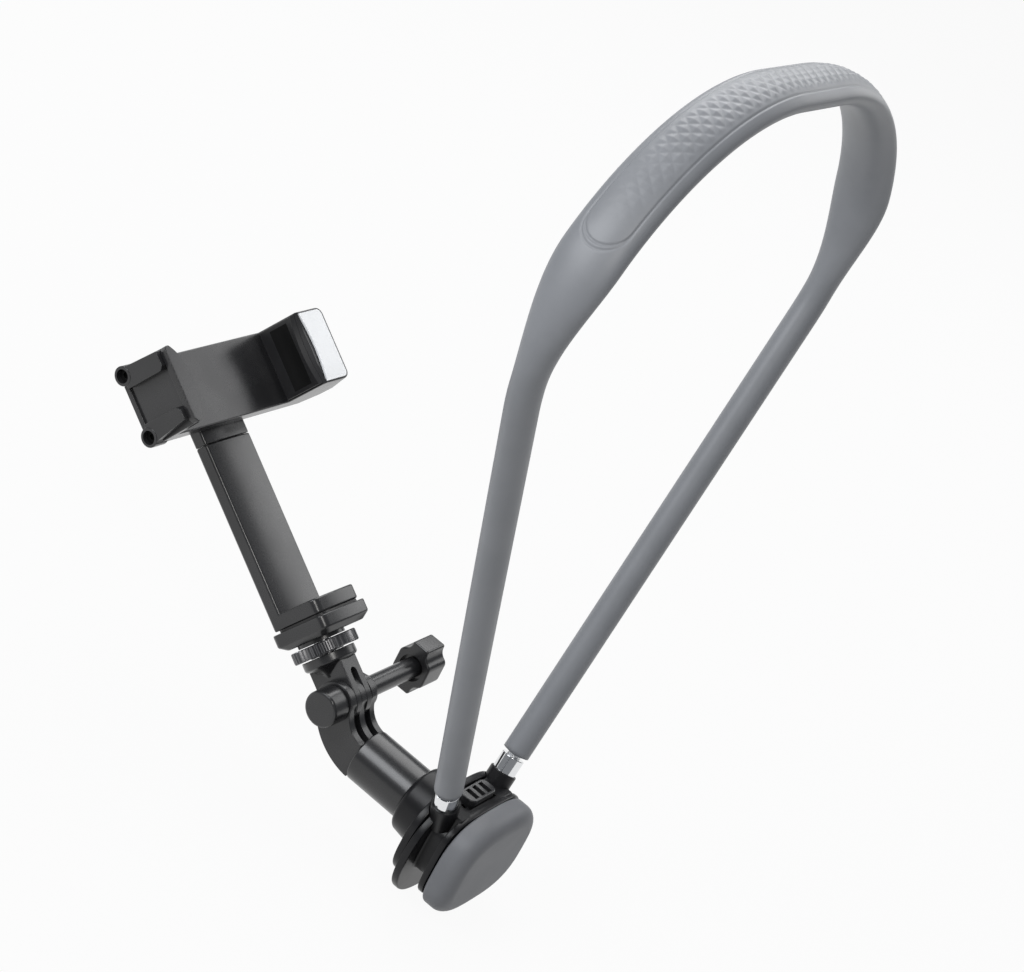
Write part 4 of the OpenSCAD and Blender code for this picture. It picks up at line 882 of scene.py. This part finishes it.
body_side = [
    (-body_end, clamp_back), (jaw_heel, clamp_back), (jaw_outer, jaw_outer_back),
    (jaw_outer, jaw_outer_front), (jaw_tip, -jaw_reach), (fixed_inner + jaw_mouth, -jaw_reach),
    (fixed_inner + pad_t, -clamp_front - pad_t), (fixed_inner + pad_t, -clamp_front),
    (-body_end, -clamp_front)]
body_shape = skinned_shape([[(*point, height) for point in body_side] for height in (clamp_low, clamp_high)])
tip_edges = [edge for edge in body_shape.edges if edge.verts[0].co.z == edge.verts[1].co.z
             and min(vert.co.x for vert in edge.verts) > jaw_tip - 0.01]
bmesh.ops.bevel(body_shape, geom=tip_edges, offset=tip_corner, segments=8, profile=0.5, affect="EDGES")
clamp_body = solid("clamp_body_skin", body_shape, post_place, body_edge, least_angle=35)


def tip_plate(inner, edge):
    """Outline on the jaw's tip, with its two outer corners rounded."""
    far = jaw_tip - edge - seat_corner
    low, high = clamp_low + edge + seat_corner, clamp_high - edge - seat_corner
    return ([(inner, clamp_low + edge)] + arc((far, low), seat_corner, -90, 0, 8)
            + arc((far, high), seat_corner, 0, 90, 8) + [(inner, clamp_high - edge)])


def at_rod(side, depth=rod_depth, rise=rod_rise):
    """Place of a guide rod's or a spring's axis: side is -1 for the lower one and 1 for the upper."""
    return along_x @ Matrix.Translation((depth, clamp_mid + side * rise, 0))


lead_steps, lead_over = 14, 0.4
lead_pad, lead_pad_swell, lead_tip, lead_tip_swell = 1.3, 1.9, 2.9, 1.5


def lead_in(name):
    """Cutter of the lead-in at the fixed jaw's tip: a slanted face that is widest at half height."""
    rings = []
    for t in (2 * k / lead_steps - 1 for k in range(lead_steps + 1)):
        swell, height = 1 - t * t, clamp_mid + t * (clamp_h / 2 + 1)
        on_pad, on_tip = lead_pad + lead_pad_swell * swell, lead_tip + lead_tip_swell * swell
        near, far = fixed_inner - lead_over, fixed_inner + on_tip + lead_over
        fall = lead_over * on_pad / on_tip
        rings.append([(near, fall - jaw_reach + on_pad, height), (far, -jaw_reach - fall, height),
                      (far, -jaw_reach - 4, height), (near, -jaw_reach - 4, height)])
    return solid(name, skinned_shape(rings), post_place)


clamp_cuts = [
    prism("trim_seat", tip_plate(fixed_inner + trim_in, trim_edge - fit), jaw_reach - trim_t - fit,
          jaw_reach + 1, along_y),
    prism("pad_seat", oblong(fixed_inner - 1, fixed_inner + pad_t + fit, clamp_low + trim_edge,
                             clamp_high - trim_edge), 8, jaw_reach + 1, along_y),
    bar("pivot_bore", bolt_bore_r, -3, pivot_bore_end, at_pivot)]
for side in (-1, 1):
    clamp_cuts += [bar(f"rod_bore_{side}", rod_bore_r, -body_end - 1, rod_bore_end, at_rod(side), sides=32),
                   bar(f"spring_bore_{side}", spring_bore_r, -body_end - 1, spring_bore_end,
                       at_rod(side, spring_depth, spring_rise), sides=32)]
cut(clamp_body, *clamp_cuts, lead_in("body_lead_in"))
dressed(stands_for(clamp_body, "clamp_body"), satin_black, "clamp")
bare(steel, "head_screw", "wave_washer", "jaw_springs")


# The jaw trim is a bright plate that is stuck in a seat on the fixed jaw's tip.
# Its inner side bulges away from the lead-in.
plate_white = moulded("plate_white", (0.80, 0.81, 0.82), (0.77, 0.78, 0.79), 0.3, 0.3 * mm, 0.002 * mm, 0.04)
trim_low, trim_high, trim_inner = clamp_low + trim_edge, clamp_high - trim_edge, fixed_inner + trim_in + fit
bulge_start, bulge_deep, bulge_steps, plate_round = 0.2, 1.5, 16, 0.2
bulge = [(trim_inner + bulge_start + bulge_deep * 4 * t * (1 - t), trim_high + (trim_low - trim_high) * t)
         for t in (k / bulge_steps for k in range(bulge_steps + 1))]
jaw_trim = prism("jaw_trim_skin", tip_plate(trim_inner, trim_edge)[1:-1] + bulge, jaw_reach - trim_t,
                 jaw_reach, along_y, plate_round, least_angle=40)
dressed(stands_for(jaw_trim, "jaw_trim"), plate_white, "clamp")


# The fixed jaw's pad is a plate of black rubber, with a trench for the phone's edge that slopes in
# from all four sides. It is bonded into a seat on the jaw's inner face.
rubber = moulded("rubber", (0.016, 0.016, 0.017), (0.012, 0.012, 0.013), 0.36, 0.3 * mm, 0.006 * mm, 0.08)
# A near-black, matt material: on the trench floors it is painted shade in the recess, and on the rod screws
# it is their own black oxide.
painted_shade_and_oxide_black = moulded("painted_shade_and_oxide_black", (0.003, 0.003, 0.003), (0.002, 0.002, 0.002), 0.7,
                       0.3 * mm, 0.006 * mm, 0.08, **{"Specular IOR Level": 0.2})
jaw_frame = along_x @ Matrix.Translation((0, clamp_mid, 0))
trench_half, trench_slope, trench_deep, pad_round = 11.3, 1.9, 1.1, 0.25
# Depths below the pad's face between which the trench's floor is painted darker as shade.
painted_shade_start, painted_shade_end = 0.15, 1.2


def padded_face(name, face, front, back, half_h, trench_front, trench_back, side, body):
    """Rubber pad on a jaw's inner face. The trench's floor gets a near-black, duller material as painted
    shade in the recess.
    """
    pad = prism(name + "_skin", oblong(-front, -back, -half_h, half_h), side * face,
                side * (face + pad_t - fit), jaw_frame, pad_round)
    rings = [[(*corner, side * depth) for corner in oblong(-trench_front + inset, -trench_back - inset,
                                                           inset - trench_half, trench_half - inset)]
             for inset, depth in ((0, face - 1), (0, face), (trench_slope, face + trench_deep))]
    cut(pad, solid(name + "_trench", skinned_shape(rings), jaw_frame),
        *([lead_in(name + "_lead_in")] if side > 0 else []))
    dressed(stands_for(pad, name), rubber, body)
    # The trench's floor faces get the near-black second material, painted shade in the recess.
    pad.data.materials.append(painted_shade_and_oxide_black)
    to_jaw = jaw_frame.inverted()
    for polygon in pad.data.polygons:
        at = to_jaw @ polygon.center
        deep = side * at.z - face
        if -trench_front < at.x < -trench_back and abs(at.y) < trench_half and painted_shade_start < deep < painted_shade_end:
            polygon.material_index = 1


padded_face("fixed_jaw_pad", fixed_inner, jaw_reach, 8.05, 12.7, 20.5, 12.4, 1, "clamp")


# The sliding jaw runs on two steel guide rods. It is a black wall with a bulged lip at its tip, and on
# its outer face two ribs stand between the lip and the tubular bosses that take the rods' screws.
slide_inner, wall_t, wall_tip, slide_half, tip_half = 36.1, 3.0, 19.1, 14.0, 13.4
lip_outer, lip_inner, lip_front, lip_corner, lip_swell, lip_steps = 40.6, 38.1, 21.6, 1.4, 4.7, 24
rib_outer, rib_h, rib_side, rib_notch, wall_edge, lip_edge, rib_edge = 42.4, 7.6, 0.4, 1.4, 0.4, 0.35, 0.3
strip_half, strip_deep, strip_outer = 8.2, 2, 40.0
boss_outer_r, boss_outer, boss_edge, screw_hole_r, screw_hole_end, rib_end_r = 3.4, 42.6, 0.25, 2.4, 38.9, 3.0
sliding_jaw = prism("sliding_jaw_skin", [
    (clamp_back, -slide_half), (clamp_back, slide_half), (-wall_tip - 0.5, tip_half),
    (-wall_tip - 0.5, -tip_half)], -slide_inner - wall_t, -slide_inner, jaw_frame, wall_edge)
lip_bulge = [(lip_swell * (1 - abs(t) ** 3) - lip_inner, t * tip_half)
             for t in (1 - 2 * k / lip_steps for k in range(lip_steps + 1))]
lip_outline = [(-lip_outer, lip_corner - tip_half), (-lip_outer, tip_half - lip_corner),
               (lip_corner - lip_outer, tip_half)] + lip_bulge + [(lip_corner - lip_outer, -tip_half)]
jaw_parts = [prism("jaw_lip", lip_outline, wall_tip - 0.1, lip_front,
                   along_y @ Matrix.Translation((0, clamp_mid, 0)), lip_edge)]
part_start = -slide_inner - 0.2
for side, tip_height in ((-1, 11.1), (1, 12.9)):
    rib_low = side * (slide_half - rib_h)
    rib_notched = side * (slide_half - rib_h + rib_notch)
    rib = prism(f"jaw_rib_{side}", [
        (rod_depth, rib_low), (rod_depth, side * (slide_half - rib_side)), (-wall_tip, side * tip_height),
        (-wall_tip, rib_notched), (rib_notch - wall_tip, rib_low)],
        -rib_outer, part_start, jaw_frame, rib_edge)
    jaw_parts.append(cut(rib, bar(f"rib_end_{side}", rib_end_r, -boss_outer - 1, 1 - slide_inner,
                                  at_rod(side))))
jaw_parts.append(prism("jaw_base", oblong(clamp_back - strip_deep, clamp_back - fit, -strip_half, strip_half),
                       -strip_outer, part_start, jaw_frame, rib_edge))
for side in (-1, 1):
    axis = at_rod(side)
    tube = bar(f"jaw_boss_{side}", boss_outer_r, -boss_outer, part_start, axis, boss_edge)
    screw_hole = bar(f"screw_hole_{side}", screw_hole_r, -boss_outer - 1, -screw_hole_end, axis, sides=48)
    rod_hole = bar(f"rod_hole_{side}", rod_bore_r, -screw_hole_end - 0.1, 1 - slide_inner, axis,
                   sides=32)
    jaw_parts.append(cut(tube, screw_hole, rod_hole))
    cut(sliding_jaw, bar(f"wall_hole_{side}", rod_bore_r, -boss_outer, 1 - slide_inner, axis, sides=32))
whole_jaw = bmesh.new()
for part in (sliding_jaw, *jaw_parts):
    whole_jaw.from_mesh(part.data)
whole_jaw.to_mesh(sliding_jaw.data)
whole_jaw.free()
for part in jaw_parts:
    bpy.data.objects.remove(part)
dressed(stands_for(sliding_jaw, "sliding_jaw"), satin_black, "moving_jaw")
bare(steel, "guide_rods")
# The rod screws are black oxide, in the same near-black material that paints shade on the trench floors.
bare(painted_shade_and_oxide_black, "rod_screws")


# The sliding jaw's pad is the same black rubber plate with a smaller trench.
# It is bonded into the jaw's inner face.
padded_face("sliding_jaw_pad", 34.6, 19.05, 7.1, 12.8, 15.4, 9.4, -1, "moving_jaw")


# The neck loop's core is a rod of annealed aluminium inside the sleeve, which keeps the shape that
# the wearer bends it to. Its ends are pressed through the ferrules into the housing's sockets.
soft_wire = metal("soft_wire", (0.72, 0.73, 0.74), 0.35, 0.1)
bare(soft_wire, "neck_core")


# The studio: a white floor that keeps a soft shadow, a wide key lamp at the upper left
# and a large soft box at the right, whose reflections shape the black mouldings.
floor_low, floor_half = cad_low.z - 0.2 * mm, 4.0
floor_mesh = bpy.data.meshes.new("studio_floor")
floor_corners = oblong(-floor_half, floor_half, -floor_half, floor_half)
floor_mesh.from_pydata([(x, y, floor_low) for x, y in floor_corners], [], [(0, 1, 2, 3)])
floor = new_piece("studio_floor", floor_mesh)
floor_white = bpy.data.materials.new("floor_white")
rays = blank_tree(floor_white).nodes.new("ShaderNodeLightPath").outputs
seen = Socket(rays["Is Camera Ray"]) + Socket(rays["Is Glossy Ray"])
seen = (seen + Socket(rays["Is Transmission Ray"])).math("MINIMUM", 1.0)
paper = seen.node("ShaderNodeBsdfDiffuse", {"Color": (0.50, 0.50, 0.50, 1)})
glow = seen.node("ShaderNodeEmission", {"Color": (0.992, 0.992, 0.992, 1), "Strength": 1.0})
shown(seen.node("ShaderNodeMixShader", {0: seen * 0.95, 1: paper, 2: glow}))
floor_mesh.materials.append(floor_white)

world = bpy.data.worlds.new("studio")
scene.world = world
seen = Socket(blank_tree(world).nodes.new("ShaderNodeLightPath").outputs["Is Camera Ray"])
studio_air = seen.node("ShaderNodeBackground", {"Color": (0.92, 0.95, 1.0, 1), "Strength": 0.26})
white_air = seen.node("ShaderNodeBackground", {"Color": (0.992, 0.992, 0.992, 1), "Strength": 1.0})
shown(seen.node("ShaderNodeMixShader", {0: seen, 1: studio_air, 2: white_air}), "ShaderNodeOutputWorld")

aim = (cad_low + cad_high) / 2
lamps = {
    "key_top": ((0.25, 0.90, -0.20), 0.80, 7.0, (1.0, 1.0, 1.0)),
    "key_upper_left": ((-0.42, 0.62, 0.78), 0.60, 8.0, (0.95, 0.97, 1.0)),
    "box_right": ((0.84, 0.42, -0.50), 0.55, 2.2, (1.0, 1.0, 1.0)),
    "strip_front": ((0.29, 0.21, 1.05), 0.28, 2.8, (1.0, 0.98, 0.95)),
}
for lamp_name, (offset, lamp_size, power, colour) in lamps.items():
    lamp_data = bpy.data.lights.new(lamp_name, "AREA")
    lamp_data.shape = "SQUARE"
    lamp_data.size = lamp_size
    lamp_data.energy = power
    lamp_data.color = colour
    lamp = bpy.data.objects.new(lamp_name, lamp_data)
    lamp_place = aim + camera_right * offset[0] + camera_up * offset[1] + camera_back * offset[2]
    turned_to_aim = (lamp_place - aim).to_track_quat("Z", "Y").to_matrix().to_4x4()
    lamp.matrix_world = Matrix.Translation(lamp_place) @ turned_to_aim
    scene.collection.objects.link(lamp)
